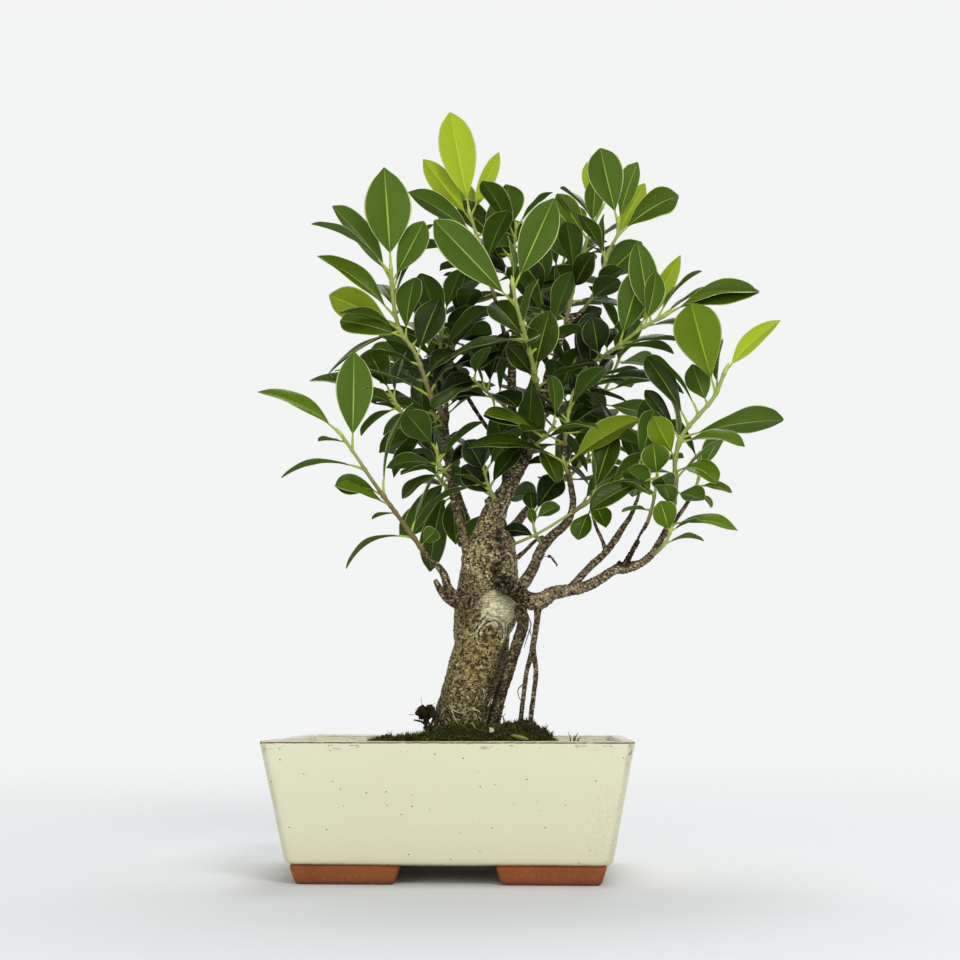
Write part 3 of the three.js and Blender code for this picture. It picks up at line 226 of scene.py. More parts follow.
def path_frames(path):
    """Tangents of a path, and two directions across it that don't twist."""
    tangents = unit_rows(np.gradient(path, axis=0))
    across = np.cross(tangents[0], [0.31, 0.83, 0.46])
    firsts = []
    for tangent in tangents:
        across = across - tangent * across.dot(tangent)
        across /= np.linalg.norm(across)
        firsts.append(across)
    firsts = np.array(firsts)
    return tangents, firsts, np.cross(tangents, firsts)


def add_tube(shape, path, radii, sides, end=0.4, **marks):
    """A closed tube along a path. radii has a value for each point, or for each point and side.

    end is how far its tip stands out, as a share of its last radius. Each mark has a vector for
    each point of the path, or one for all of them.
    """
    tangents, first, second = path_frames(path)
    angles = np.arange(sides) * 2 * math.pi / sides
    radii = np.broadcast_to(np.asarray(radii).reshape(len(path), -1), (len(path), sides))
    out = first[:, None] * (radii * np.cos(angles))[..., None]
    points = path[:, None] + out + second[:, None] * (radii * np.sin(angles))[..., None]
    foot = path[0] - tangents[0] * radii[0, 0] * 0.3
    tip = path[-1] + tangents[-1] * radii[-1, 0] * end
    points = np.vstack([points.reshape(-1, 3), foot, tip])
    for key, value in marks.items():
        value = np.broadcast_to(value, (len(path), 3))
        marks[key] = np.vstack([np.repeat(value, sides, axis=0), value[:1], value[-1:]])
    shape.add(points, *closed_faces(len(path), sides), **marks)


def applied(mesh, *modifiers):
    """mesh after modifiers, each a (kind, settings) pair."""
    piece = link(bpy.data.objects.new("work", mesh))
    for kind, settings in modifiers:
        modifier = piece.modifiers.new(kind, kind)
        for key, value in settings.items():
            setattr(modifier, key, value)
    bpy.context.view_layer.update()
    finished = piece.evaluated_get(bpy.context.evaluated_depsgraph_get())
    made = bpy.data.meshes.new_from_object(finished)
    bpy.data.objects.remove(piece)
    bpy.data.meshes.remove(mesh)
    return made


def vectors_of(mesh, kind):
    """A mesh's points, for "co", or its directions, for "normal"."""
    values = np.empty(len(mesh.vertices) * 3)
    mesh.vertices.foreach_get(kind, values)
    return values.reshape(-1, 3)


def set_points(mesh, points):
    mesh.vertices.foreach_set("co", points.ravel())
    mesh.update()
    mesh.shade_smooth()


def set_mark(mesh, name, values):
    layer = mesh.attributes.new(name, "FLOAT_VECTOR", "POINT")
    layer.data.foreach_set("vector", np.ascontiguousarray(values, float).ravel())


def rough(points, scale, seed=0):
    """Smooth noise from -1 to 1 at each point, with bumps about scale millimetres across."""
    shift = Vector((seed * 3.7, seed * 1.3, seed * 2.1))
    return np.array([noise.noise(Vector(p) / (scale * MM) + shift) for p in points])


def bump(distance, width):
    """1 at no distance, falling smoothly to nothing by about two widths."""
    return np.exp(-((distance / (width * MM)) ** 2))


def smoothed(value, low, high):
    """0 up to low, 1 from high, and a smooth climb between them."""
    share = np.clip((value - low) / (high - low), 0, 1)
    return share * share * (3 - 2 * share)


def seen_path(stops, step):
    """A smooth path through (pixel x, pixel y, depth) stops, and the distance along it."""
    path, _, far = smooth_path([seen(*stop) for stop in stops], step * MM)
    return path, far


# ---------------------------------------------------------------- materials


def srgb(red, green, blue):
    """A colour as read off a screen, from 0 to 255, as the linear values that Blender mixes."""
    return [
        (c / 255 / 12.92) if c <= 10 else ((c / 255 + 0.055) / 1.055) ** 2.4
        for c in (red, green, blue)
    ] + [1]


class Paint:
    """One material under construction: a Principled shader and the nodes that feed it."""

    def __init__(self, name, roughness=0.6, specular=0.5):
        self.material = bpy.data.materials.new(name)
        self.material.use_nodes = True
        self.tree = self.material.node_tree
        self.tree.nodes.clear()
        output = self.node("ShaderNodeOutputMaterial")
        self.shader = self.node("ShaderNodeBsdfPrincipled")
        self.shader.inputs["Roughness"].default_value = roughness
        self.shader.inputs["Specular IOR Level"].default_value = specular
        self.tree.links.new(self.shader.outputs["BSDF"], output.inputs["Surface"])
        self.where = self.node("ShaderNodeTexCoord").outputs["Object"]
        self.colour = None

    def node(self, kind, **settings):
        made = self.tree.nodes.new(kind)
        for key, value in settings.items():
            setattr(made, key, value)
        return made

    def feed(self, socket, value):
        """Gives a socket a link from another one, a screen colour or a number."""
        if isinstance(value, bpy.types.NodeSocket):
            self.tree.links.new(value, socket)
        else:
            socket.default_value = srgb(*value) if isinstance(value, tuple) else value

    def stretched(self, x, y, z):
        made = self.node("ShaderNodeMapping")
        self.feed(made.inputs["Vector"], self.where)
        made.inputs["Scale"].default_value = (x, y, z)
        return made.outputs["Vector"]

    def noise(self, size, detail=4, roughness=0.55, where=None, distortion=0):
        """Noise with blotches about size millimetres across."""
        made = self.node("ShaderNodeTexNoise")
        self.feed(made.inputs["Vector"], where or self.where)
        made.inputs["Scale"].default_value = 1 / (size * MM)
        made.inputs["Detail"].default_value = detail
        made.inputs["Roughness"].default_value = roughness
        made.inputs["Distortion"].default_value = distortion
        return made.outputs["Fac"]

    def cells(self, size, feature="F1", where=None):
        """Distance inside Voronoi cells about size millimetres across."""
        made = self.node("ShaderNodeTexVoronoi", feature=feature)
        self.feed(made.inputs["Vector"], where or self.where)
        made.inputs["Scale"].default_value = 1 / (size * MM)
        return made.outputs["Distance"]

    def math(self, operation, first, second=0):
        made = self.node("ShaderNodeMath", operation=operation)
        self.feed(made.inputs[0], first)
        self.feed(made.inputs[1], second)
        return made.outputs[0]

    def plus(self, first, second):
        return self.math("ADD", first, second)

    def minus(self, first, second):
        return self.math("SUBTRACT", first, second)

    def times(self, *values):
        product = values[0]
        for value in values[1:]:
            product = self.math("MULTIPLY", product, value)
        return product

    def step(self, value, low, high, start=0.0, end=1.0):
        """Goes smoothly from start to end as value goes from low to high."""
        made = self.node("ShaderNodeMapRange", interpolation_type="SMOOTHSTEP")
        self.feed(made.inputs["Value"], value)
        for key, number in zip(("From Min", "From Max", "To Min", "To Max"), (low, high, start, end)):
            made.inputs[key].default_value = number
        return made.outputs["Result"]

    def mix(self, share, first, second):
        made = self.node("ShaderNodeMix", data_type="RGBA")
        self.feed(made.inputs["Factor"], share)
        self.feed(made.inputs[6], first)
        self.feed(made.inputs[7], second)
        return made.outputs[2]

    def ramp(self, value, *stops):
        """A colour from value through (place, colour) stops."""
        made = self.node("ShaderNodeValToRGB")
        self.feed(made.inputs["Fac"], value)
        elements = made.color_ramp.elements
        while len(elements) < len(stops):
            elements.new(0.5)
        for element, (place, colour) in zip(elements, stops):
            element.position = place
            element.color = srgb(*colour)
        return made.outputs["Color"]

    def patches(self, size, detail, roughness, low, high, start=0.0, end=1.0):
        """Noise cut into patches, from start between them to end inside them."""
        return self.step(self.noise(size, detail, roughness), low, high, start, end)

    def frayed(self, value, size, detail, roughness, spread):
        """value moved up and down by noise, so that an edge drawn from it is ragged."""
        return self.plus(value, self.wander(size, detail, roughness, spread))

    def wander(self, size, detail, roughness, spread):
        """Noise on both sides of nothing, spread apart in all."""
        return self.times(self.minus(self.noise(size, detail, roughness), 0.5), spread)

    def split(self, vector):
        made = self.node("ShaderNodeSeparateXYZ")
        self.feed(made.inputs[0], vector)
        return made.outputs

    def mark(self, name):
        """The three parts of a named vector kept at the mesh's points."""
        return self.split(self.node("ShaderNodeAttribute", attribute_name=name).outputs["Vector"])

    def place(self):
        return self.split(self.where)

    def facing(self):
        """The parts of the surface's direction."""
        return self.split(self.node("ShaderNodeNewGeometry").outputs["Normal"])

    def relief(self, height, depth):
        """Raises the surface by height times depth millimetres."""
        made = self.node("ShaderNodeBump")
        made.inputs["Distance"].default_value = depth * MM
        self.feed(made.inputs["Height"], height)
        self.feed(self.shader.inputs["Normal"], made.outputs["Normal"])

    def coat(self, share, colour):
        """Lays another colour over the material, as thickly as share says."""
        self.colour = self.mix(share, self.colour, colour)

    def done(self, roughness=None):
        self.feed(self.shader.inputs["Base Color"], self.colour)
        if roughness is not None:
            self.feed(self.shader.inputs["Roughness"], roughness)
        return self.material


def glaze_material():
    """Cream glaze: pinholes, brown where it runs thin at the lip, foot and corners, and crazing."""
    paint = Paint("cream_glaze")
    across, behind, height = paint.place()
    foot = POT["glaze_foot"]
    rim = POT["height"]
    cream = paint.mix(paint.noise(70, 2), (222, 221, 191), (220, 218, 187))
    # Painted shade: the glaze darker towards its foot.
    cream = paint.mix(paint.step(height, foot * MM, (foot + 27) * MM, 0.5, 0), cream, (213, 209, 168))
    ragged = paint.frayed(height, 7, 5, 0.7, 2 * MM)
    pooled = paint.step(ragged, (foot - 0.2) * MM, (foot + 1.2) * MM, 0.9, 0)
    paint.colour = paint.mix(pooled, cream, (146, 130, 84))

    frayed = paint.frayed(height, 4, 5, 0.7, 0.9 * MM)
    lip = paint.step(frayed, (rim - 1.6) * MM, (rim - 1.4) * MM)
    lip = paint.times(lip, paint.step(frayed, (rim - 0.7) * MM, (rim - 0.4) * MM, 1, 0.1))
    lip = paint.times(lip, paint.patches(5, 4, 0.6, 0.3, 0.5, 0.5, 1))
    x, y, _ = paint.facing()
    from_middle = (paint.minus(across, MIDDLE[0]), paint.minus(behind, MIDDLE[1]))
    outwards = paint.plus(paint.times(from_middle[0], x), paint.times(from_middle[1], y))
    lip = paint.times(lip, paint.step(outwards, -5 * MM, 15 * MM, 0.3, 1))
    paint.coat(lip, (104, 88, 56))
    top = paint.step(height, (rim - 0.4) * MM, (rim - 0.1) * MM)
    top = paint.times(top, paint.patches(6, 5, 0.7, 0.56, 0.66))
    paint.coat(paint.times(top, 0.5), (110, 92, 62))
    chips = paint.step(paint.noise(3, 5, 0.65, paint.stretched(0.3, 0.3, 1.6)), 0.57, 0.64)
    chips = paint.times(chips, paint.step(height, (rim - 7) * MM, (rim - 3.5) * MM))
    chips = paint.times(chips, paint.patches(26, 2, 0.55, 0.44, 0.54))
    paint.coat(paint.times(chips, 0.75), (120, 98, 62))
    corner = paint.step(paint.math("ABSOLUTE", paint.times(x, y)), 0.3, 0.48, 0, 0.32)
    corner = paint.times(corner, paint.patches(10, 4, 0.6, 0.35, 0.6, 0.3, 1))
    paint.coat(corner, (160, 144, 100))
    knocked = paint.step(height, (rim - 20) * MM, (rim - 4) * MM)
    knocked = paint.times(knocked, paint.patches(3.5, 5, 0.7, 0.5, 0.6))
    paint.coat(paint.times(knocked, corner, 2.6), (84, 70, 44))

    pits = paint.step(paint.cells(6.5), 0.05, 0.085, 1, 0)
    pits = paint.times(pits, paint.patches(22, 2, 0.55, 0.44, 0.5))
    specks = paint.step(paint.cells(4.1), 0.05, 0.09, 1, 0)
    specks = paint.times(specks, paint.patches(14, 2, 0.55, 0.5, 0.6, 0, 0.5))
    dark = paint.math("MAXIMUM", pits, specks)
    paint.coat(dark, (62, 54, 40))
    crazing = paint.step(paint.cells(3.4, "DISTANCE_TO_EDGE"), 0.0, 0.09, 1, 0)
    crazed = paint.times(crazing, paint.step(across, 25 * MM, 62 * MM, 0.03, 0.35))
    crazed = paint.times(crazed, paint.step(height, 30 * MM, 80 * MM, 1, 0.25))
    paint.coat(crazed, (176, 168, 128))
    paint.relief(paint.minus(paint.times(paint.noise(14, 2), 0.35), dark), 0.25)
    return paint.done(paint.plus(paint.times(lip, 0.35), 0.27))


def clay_material():
    """Bare red clay, fired rough."""
    paint = Paint("bare_clay", specular=0.25)
    paint.colour = paint.mix(paint.noise(16, 5, 0.65), (154, 86, 46), (124, 65, 34))
    paint.coat(paint.step(paint.place()[2], 1 * MM, 6 * MM, 0.45, 0), (92, 50, 26))
    paint.coat(paint.patches(3, 5, 0.7, 0.55, 0.75, 0, 0.7), (176, 112, 72))
    pores = paint.step(paint.cells(2.4), 0.08, 0.2, 1, 0)
    paint.coat(paint.times(pores, 0.6), (72, 38, 24))
    paint.relief(paint.minus(paint.noise(1.6, 4, 0.7), paint.times(pores, 0.6)), 0.3)
    return paint.done(paint.patches(5, 4, 0.55, 0.3, 0.7, 0.75, 0.92))


def bark_material():
    """Bark pebbled with pale pores: olive low on the trunk, beige above, browner on thin limbs.

    It is damp at its foot, painted darker where the crown shades it, and painted dark with shade in its
    hollows, grooves and furrows and on the aerial root's side towards the trunk.
    """
    paint = Paint("fig_bark", specular=0.2)
    girth, along, hollow_shade = paint.mark("bark")
    pale, brown, banded = paint.mark("bark_tone")
    height = paint.place()[2]
    wander = paint.wander(16, 3, 0.55, 50 * MM)
    low = paint.step(paint.plus(height, wander), 150 * MM, 195 * MM, 1, 0)
    thin = paint.step(girth, 3.0 * MM, 8 * MM, 1, 0)

    dark = paint.mix(paint.noise(5, 5, 0.65), (22, 15, 7), (58, 44, 23))
    dark = paint.mix(paint.times(low, 0.3), dark, (62, 49, 21))
    base = paint.mix(paint.noise(7, 5, 0.6), (146, 126, 80), (196, 178, 130))
    olive = paint.mix(paint.noise(9, 5, 0.6), (142, 124, 60), (182, 163, 93))
    twig = paint.mix(paint.noise(6, 4), (128, 106, 78), (96, 76, 54))
    base = paint.mix(thin, paint.mix(low, base, olive), twig)
    clumps = paint.patches(2.4, 6, 0.75, 0.45, 0.54)
    paint.colour = paint.mix(clumps, dark, base)
    mottle = paint.times(low, paint.patches(6, 5, 0.65, 0.45, 0.6))
    paint.coat(paint.times(mottle, 0.5), (58, 43, 18))

    shaded = paint.step(height, 232 * MM, 275 * MM, 0, 0.55)
    paint.coat(shaded, (32, 23, 13))
    damp = paint.plus(height, paint.times(wander, 0.4))
    paint.coat(paint.step(damp, 96 * MM, 140 * MM, 0.8, 0), (38, 28, 12))

    pebbles = paint.step(paint.cells(2.7, where=paint.stretched(1, 1, 1.3)), 0.27, 0.42, 1, 0)
    spread = paint.patches(6, 4, 0.6, 0.3, 0.6, 0.2, 1)
    pebbles = paint.times(pebbles, spread, paint.minus(1.0, paint.times(low, 0.68)))
    pebbles = paint.times(pebbles, paint.step(girth, 3.0 * MM, 8 * MM, 0.45, 1))
    paint.coat(paint.times(pebbles, 0.95), (244, 230, 188))
    flecks = paint.step(paint.cells(3.0, where=paint.stretched(0.5, 0.5, 1.15)), 0.17, 0.3, 1, 0)
    flecks = paint.times(flecks, paint.patches(4, 3, 0.55, 0.42, 0.5, 0, 0.7))
    curls = paint.step(paint.noise(2.3, 4, 0.7, distortion=1.6), 0.57, 0.62)
    flecks = paint.math("MAXIMUM", flecks, paint.times(curls, paint.step(low, 0, 1, 0.25, 1)))
    paint.coat(paint.times(flecks, 0.92), (244, 228, 172))

    ripple = paint.plus(paint.times(along, 1 / (0.36 * MM)), paint.times(paint.noise(4, 3), 9.0))
    bands = paint.step(paint.math("SINE", ripple), 0.1, 0.9)
    bands = paint.times(bands, banded, paint.patches(7, 3, 0.55, 0.35, 0.6, 0.2, 1))
    paint.coat(paint.times(bands, 0.4), (186, 174, 136))

    lines = paint.step(paint.noise(2.6, 4, 0.6, paint.stretched(0.35, 0.35, 3.2)), 0.36, 0.5, 1, 0)
    smooth = paint.mix(paint.times(lines, 0.62), (255, 248, 206), (134, 110, 62))
    smooth = paint.mix(paint.patches(2.6, 4, 0.6, 0.55, 0.63, 0, 0.6), smooth, (128, 108, 62))
    edge = paint.frayed(pale, 4, 4, 0.7, 0.9)
    paint.coat(paint.step(edge, 0.22, 0.55, 0, 0.95), smooth)
    brown = paint.times(brown, paint.step(clumps, 0, 1, 0.95, 0.65))
    paint.coat(brown, (40, 28, 14))
    # Painted shade, nearly black, in the hollows, grooves and furrows that the wood marks.
    paint.coat(hollow_shade, (18, 12, 6))
    relief = paint.plus(paint.times(pebbles, 0.7), paint.times(flecks, 0.5))
    relief = paint.plus(relief, paint.times(clumps, 0.9))
    relief = paint.minus(relief, paint.times(lines, pale, 0.8))
    paint.relief(paint.plus(relief, paint.times(bands, 0.5)), 0.5)
    return paint.done(paint.patches(4, 4, 0.55, 0.3, 0.7, 0.72, 0.92))


def leaf_material(name, top, mid, under_dark, under, vein):
    """A glossy leaf: midrib and side veins, a pale margin, and a duller underside.

    top and mid are its upper side at tone 0 and 1, and the two after them its lower side. Low tone is
    dark: painted shade for the leaves deep in the crown.
    """
    paint = Paint(name, specular=0.11)
    across, along, upper = paint.mark("leaf_place")
    tone = paint.mark("leaf_kind")[0]
    side = paint.math("ABSOLUTE", across)
    paint.colour = paint.mix(tone, top, mid)
    paint.coat(paint.patches(9, 3, 0.55, 0.35, 0.75, 0, 0.15), mid)
    below = paint.mix(tone, under_dark, under)
    paint.colour = paint.mix(paint.step(upper, 0.4, 0.6), below, paint.colour)
    rows = paint.minus(paint.times(along, 11.0), paint.times(side, 2.2))
    wave = paint.plus(rows, paint.times(paint.noise(8, 2), 0.5))
    gap = paint.math("PINGPONG", wave, 0.5)
    rib = paint.times(paint.step(gap, 0.0, 0.09, 1, 0), paint.step(side, 0.82, 0.95, 1, 0))
    fine = paint.step(paint.cells(1.6, "DISTANCE_TO_EDGE"), 0.0, 0.06, 1, 0)
    paint.coat(paint.times(rib, 0.05), vein)
    paint.coat(paint.times(fine, 0.03), vein)
    width = paint.step(along, 0.0, 0.9, 0.05, 0.017)
    middle = paint.step(paint.minus(side, width), -0.01, 0.014, 1, 0)
    margin = paint.step(side, 0.935, 0.958)
    shown = paint.step(tone, 0.0, 0.7, 0.45, 0.95)
    paint.coat(paint.times(middle, shown), vein)
    paint.coat(paint.times(margin, shown), (194, 204, 136))
    paint.coat(paint.step(along, -0.01, 0.05, 1, 0), (164, 182, 70))
    paint.relief(paint.minus(paint.noise(4, 3), paint.times(rib, 0.8)), 0.14)
    dull = paint.step(upper, 0.4, 0.6, 0.52, 0.3)
    return paint.done(paint.plus(dull, paint.patches(14, 3, 0.55, 0.3, 0.7, -0.05, 0.07)))


def stem_material(name):
    """A shoot: yellow green at the tip, browner towards its foot, with small pale pores."""
    paint = Paint(name, roughness=0.55, specular=0.4)
    age, _, bud = paint.mark("stem")
    paint.colour = paint.mix(paint.step(age, 0.45, 1.1), (150, 164, 82), (118, 102, 60))
    scars = paint.patches(3, 4, 0.55, 0.5, 0.7, 0, 0.6)
    paint.coat(paint.times(scars, paint.step(age, 0.3, 0.9, 0.2, 1)), (104, 84, 52))
    pores = paint.step(paint.cells(1.8), 0.1, 0.24, 1, 0)
    paint.coat(paint.times(pores, 0.6), (206, 200, 150))
    paint.coat(bud, (170, 190, 90))
    paint.relief(pores, 0.12)
    return paint.done()


def soil_material():
    """Damp bonsai mix: dark crumbs, with tan and rusty grains among them."""
    paint = Paint("soil", specular=0.2)
    tone, other, loose = paint.mark("crumb")
    grain = paint.ramp(
        tone,
        (0, (34, 26, 20)),
        (0.4, (62, 46, 32)),
        (0.62, (104, 76, 48)),
        (0.8, (146, 118, 82)),
        (0.93, (120, 62, 40)),
        (1, (176, 164, 140)),
    )
    crust = paint.mix(paint.patches(3, 6, 0.7, 0.35, 0.65), (30, 23, 17), (78, 58, 40))
    paint.colour = paint.mix(loose, crust, grain)
    paint.coat(paint.patches(0.9, 3, 0.55, 0.45, 0.65, 0, 0.5), (30, 22, 16))
    paint.relief(paint.noise(0.8, 4, 0.7), 0.3)
    return paint.done(paint.step(other, 0.0, 1.0, 0.8, 0.98))


def moss_material(name, green):
    """Short moss: nearly black below, olive and green tips, and brown dead patches.

    green is how much of it lives, from 0 to 1.
    """
    paint = Paint(name, roughness=0.9, specular=0.15)
    tone, height, alive = paint.mark("moss")
    patch = paint.patches(6, 4, 0.55, 0.4, 0.58)
    tip = paint.mix(tone, (52, 74, 14), (132, 152, 44))
    dead = paint.mix(tone, (50, 42, 24), (140, 120, 80))
    dying = paint.math("MAXIMUM", paint.times(patch, 1 - green), paint.step(alive, 0, 0.6, 1, 0))
    tip = paint.mix(dying, tip, dead)
    if green < 0.5:
        tip = paint.mix(paint.step(tone, 0.3, 0.9, 0.95, 0.3), tip, dead)
    below = paint.mix(paint.noise(2.5, 5, 0.7), (16, 14, 6), (58, 49, 24))
    shown = min(1, 0.45 + 0.6 * green)
    paint.colour = paint.mix(paint.step(height, 0.05, 0.9, 0, shown), below, tip)
    paint.relief(paint.noise(0.9, 4, 0.7), 0.3)
    return paint.done()


def grit_material():
    paint = Paint("white_grit", specular=0.3)
    paint.colour = paint.mix(paint.noise(1.5, 5, 0.7), (226, 220, 200), (186, 174, 146))
    paint.coat(paint.patches(4, 3, 0.55, 0.55, 0.7, 0, 0.6), (150, 132, 96))
    paint.relief(paint.noise(0.7, 4, 0.7), 0.2)
    return paint.done(paint.patches(2, 4, 0.55, 0.3, 0.7, 0.7, 0.9))


def plastic_material():
    """Black moulded mesh, dusty in places."""
    paint = Paint("black_plastic", specular=0.4)
    dust = paint.patches(4, 5, 0.7, 0.5, 0.7, 0, 0.5)
    paint.colour = paint.mix(dust, (34, 36, 38), (96, 84, 66))
    paint.relief(paint.noise(0.6, 3), 0.06)
    return paint.done(paint.patches(3, 4, 0.55, 0.3, 0.7, 0.45, 0.7))


def wire_material():
    """Dull bent aluminium wire, drawn lengthwise."""
    paint = Paint("dull_wire", specular=0.5)
    paint.shader.inputs["Metallic"].default_value = 1.0
    paint.colour = paint.mix(paint.noise(2, 5, 0.7), (176, 178, 180), (128, 130, 132))
    paint.coat(paint.patches(5, 4, 0.55, 0.55, 0.7, 0, 0.6), (96, 88, 76))
    paint.relief(paint.noise(0.5, 4, 0.7), 0.05)
    return paint.done(paint.patches(3, 4, 0.55, 0.3, 0.7, 0.35, 0.6))


# ---------------------------------------------------------------- studio


def area_light(name, place, target, size, energy):
    data = bpy.data.lights.new(name, "AREA")
    data.shape = "DISK"
    data.size = size
    data.energy = energy
    light = link(bpy.data.objects.new(name, data))
    light.location = place
    light.rotation_euler = (Vector(target) - Vector(place)).to_track_quat("-Z", "Y").to_euler()


PALE = (243, 244, 244)
DIMMING = (0.48, 0.7)  # the surround is pale below the first height and grey above the second
FLOOR_RINGS = np.array([0.3, 0.6, 1, 1.6, 2.6, 4.5, 8, 14, 24, 40])  # their radii in metres


def make_studio():
    """A pale floor that fades into an even pale surround, and soft light from above."""
    scene = bpy.context.scene
    scene.view_settings.view_transform = "Standard"
    world = bpy.data.worlds.new("surround")
    world.use_nodes = True
    nodes, links = world.node_tree.nodes, world.node_tree.links
    split = nodes.new("ShaderNodeSeparateXYZ")
    links.new(nodes.new("ShaderNodeTexCoord").outputs["Generated"], split.inputs[0])
    climb = nodes.new("ShaderNodeMapRange")
    climb.interpolation_type = "SMOOTHSTEP"
    for key, value in zip(("From Min", "From Max"), DIMMING):
        climb.inputs[key].default_value = value
    links.new(split.outputs["Z"], climb.inputs["Value"])
    shade = nodes.new("ShaderNodeMix")
    shade.data_type = "RGBA"
    shade.inputs[6].default_value = srgb(*PALE)
    shade.inputs[7].default_value = srgb(104, 108, 112)
    links.new(climb.outputs["Result"], shade.inputs["Factor"])
    links.new(shade.outputs[2], nodes["Background"].inputs["Color"])
    scene.world = world

    sides = 96
    angles = np.arange(sides) * 2 * math.pi / sides
    across = FLOOR_RINGS[:, None] * np.cos(angles)
    along = FLOOR_RINGS[:, None] * np.sin(angles)
    rings = np.stack([across, along, 0 * across], axis=-1).reshape(-1, 3)
    floor = Shape()
    quads = ring_faces(len(FLOOR_RINGS), sides)[:, ::-1]
    middle = cap_faces(0, sides, len(rings))
    floor.add(np.vstack([rings, [0, 0, 0]]), quads, middle, ground=np.zeros(3))
    mesh = floor.mesh("floor")
    piece = link(bpy.data.objects.new("floor", mesh))
    paint = Paint("studio_floor", roughness=1.0, specular=0.0)
    x, y, _ = paint.place()
    far = paint.math("SQRT", paint.plus(paint.times(x, x), paint.times(y, y)))
    # Painted light: the floor glows with the surround's colour, more the further it lies from the pot,
    # so that it fades into the surround.
    fade = paint.step(paint.math("LOGARITHM", far, math.e), math.log(0.3), math.log(2))
    paint.feed(paint.shader.inputs["Emission Color"], PALE)
    paint.feed(paint.shader.inputs["Emission Strength"], fade)
    paint.colour = paint.mix(fade, (233, 234, 235), (0, 0, 0))
    mesh.materials.append(paint.done())

    target = from_pot(0, 0, 250)
    area_light("key", from_pot(900, -1700, 1500), target, 0.75, 17)
    area_light("fill", from_pot(-200, -1750, 700), target, 1.2, 5.5)
    area_light("top", from_pot(230, 850, 2250), target, 1.5, 28)


# ---------------------------------------------------------------- pot

POT = {"length": 243, "width": 180, "height": 92, "inset": 15, "glaze_foot": 13, "corner": 8}
FOOT = {"along": 73, "across": 48, "thick": 17, "set_back": 3, "draft": 4.5}
DRAIN = {"radius": 11, "x": 56}


def lean(z):
    """How far the pot's wall has leaned in at a height, in millimetres."""
    return POT["inset"] * (POT["height"] - z) / (POT["height"] - POT["glaze_foot"])


# Points on each corner, long side and short side of a level ring round the pot.
CORNER_POINTS, LONG_POINTS, SHORT_POINTS = 9, 64, 48


def pot_ring(z, inwards, corner):
    """Points round a level section of the pot, inwards from the wall's outer face."""
    half_x = POT["length"] / 2 - lean(z) - inwards
    half_y = POT["width"] / 2 - lean(z) - inwards
    x, y = half_x - corner, half_y - corner
    ring = []
    centres = ((x, y, 0), (-x, y, 1), (-x, -y, 2), (x, -y, 3))
    for k, (cx, cy, quarter) in enumerate(centres):
        turn = np.linspace(0, math.pi / 2, CORNER_POINTS + 1) + quarter * math.pi / 2
        ring.append(np.stack([cx + corner * np.cos(turn), cy + corner * np.sin(turn)], axis=1))
        following = centres[(k + 1) % 4]
        start = ring[-1][-1]
        away = (quarter + 1) * math.pi / 2
        end = np.array(following[:2]) + corner * np.array([math.cos(away), math.sin(away)])
        count = LONG_POINTS if quarter % 2 == 0 else SHORT_POINTS
        share = np.linspace(0, 1, count + 1)[1:-1, None]
        ring.append(start + (end - start) * share)
    ring = np.vstack(ring)
    return np.column_stack([ring, np.full(len(ring), z)])


def make_pot():
    """The glazed body: walls, rim, inside and a floor with two drain holes, in one closed skin."""
    # Each level of the skin is (height, inwards from the wall, corner radius).
    under, side, corner = 12.5, POT["glaze_foot"], POT["corner"]
    profile = [(under, 12, 6), (under, 6, 6), (under, 4, 6), (side - 0.2, 3, 7), (side + 0.1, 2.2, 7.5)]
    profile += [(side + 0.7, 1.2, 8), (side + 1.5, 0.55, 8), (side + 2.6, 0.15, 8), (side + 4.5, 0, 8)]
    profile += [(z, 0, corner) for z in np.linspace(side + 7, 88, 30)]
    profile += [(90, 0, 7.6), (91, 0.1, 7.4), (91.6, 0.45, 7), (91.95, 1.1, 6.6), (92, 2, 6.4)]
    profile += [(92, 3.6, 6.2), (91.9, 5.2, 6), (91.5, 6.4, 6), (90.8, 7, 6), (89.5, 7.2, 6)]
    profile += [(z, 7.2 + 0.8 * (90 - z) / 62, 6) for z in np.linspace(87, 30, 12)]
    profile += [(27, 8.2, 6), (24, 9.2, 6), (22, 10.6, 6), (20.6, 12.4, 6), (20, 14.5, 6), (20, 18, 6)]
    rings = [pot_ring(*level) for level in profile]
    sides = len(rings[0])
    points = np.vstack([*rings, [[0, 0, under]], [[0, 0, 20]]])
    shape = Shape()
    shape.add(MIDDLE + points * MM, *closed_faces(len(rings), sides), pot=np.zeros(3))
    mesh = shape.mesh("pot")
    for side_x in (-1, 1):
        cutter = Shape()
        path = np.array([from_pot(side_x * DRAIN["x"], 0, z) for z in (4, 16, 30)])
        add_tube(cutter, path, np.full(3, DRAIN["radius"] * MM), 40, end=0, pot=np.zeros(3))
        drill = link(bpy.data.objects.new("drill", cutter.mesh("drill")))
        mesh = applied(mesh, ("BOOLEAN", {"object": drill, "operation": "DIFFERENCE"}))
        bpy.data.objects.remove(drill)
    points = vectors_of(mesh, "co")
    swell = 0.45 * rough(points, 70) + 0.12 * rough(points, 16, 2)
    set_points(mesh, points + vectors_of(mesh, "normal") * swell[:, None] * MM)
    place_object("pot", mesh, glaze_material(), "glazed_pot", "pot")


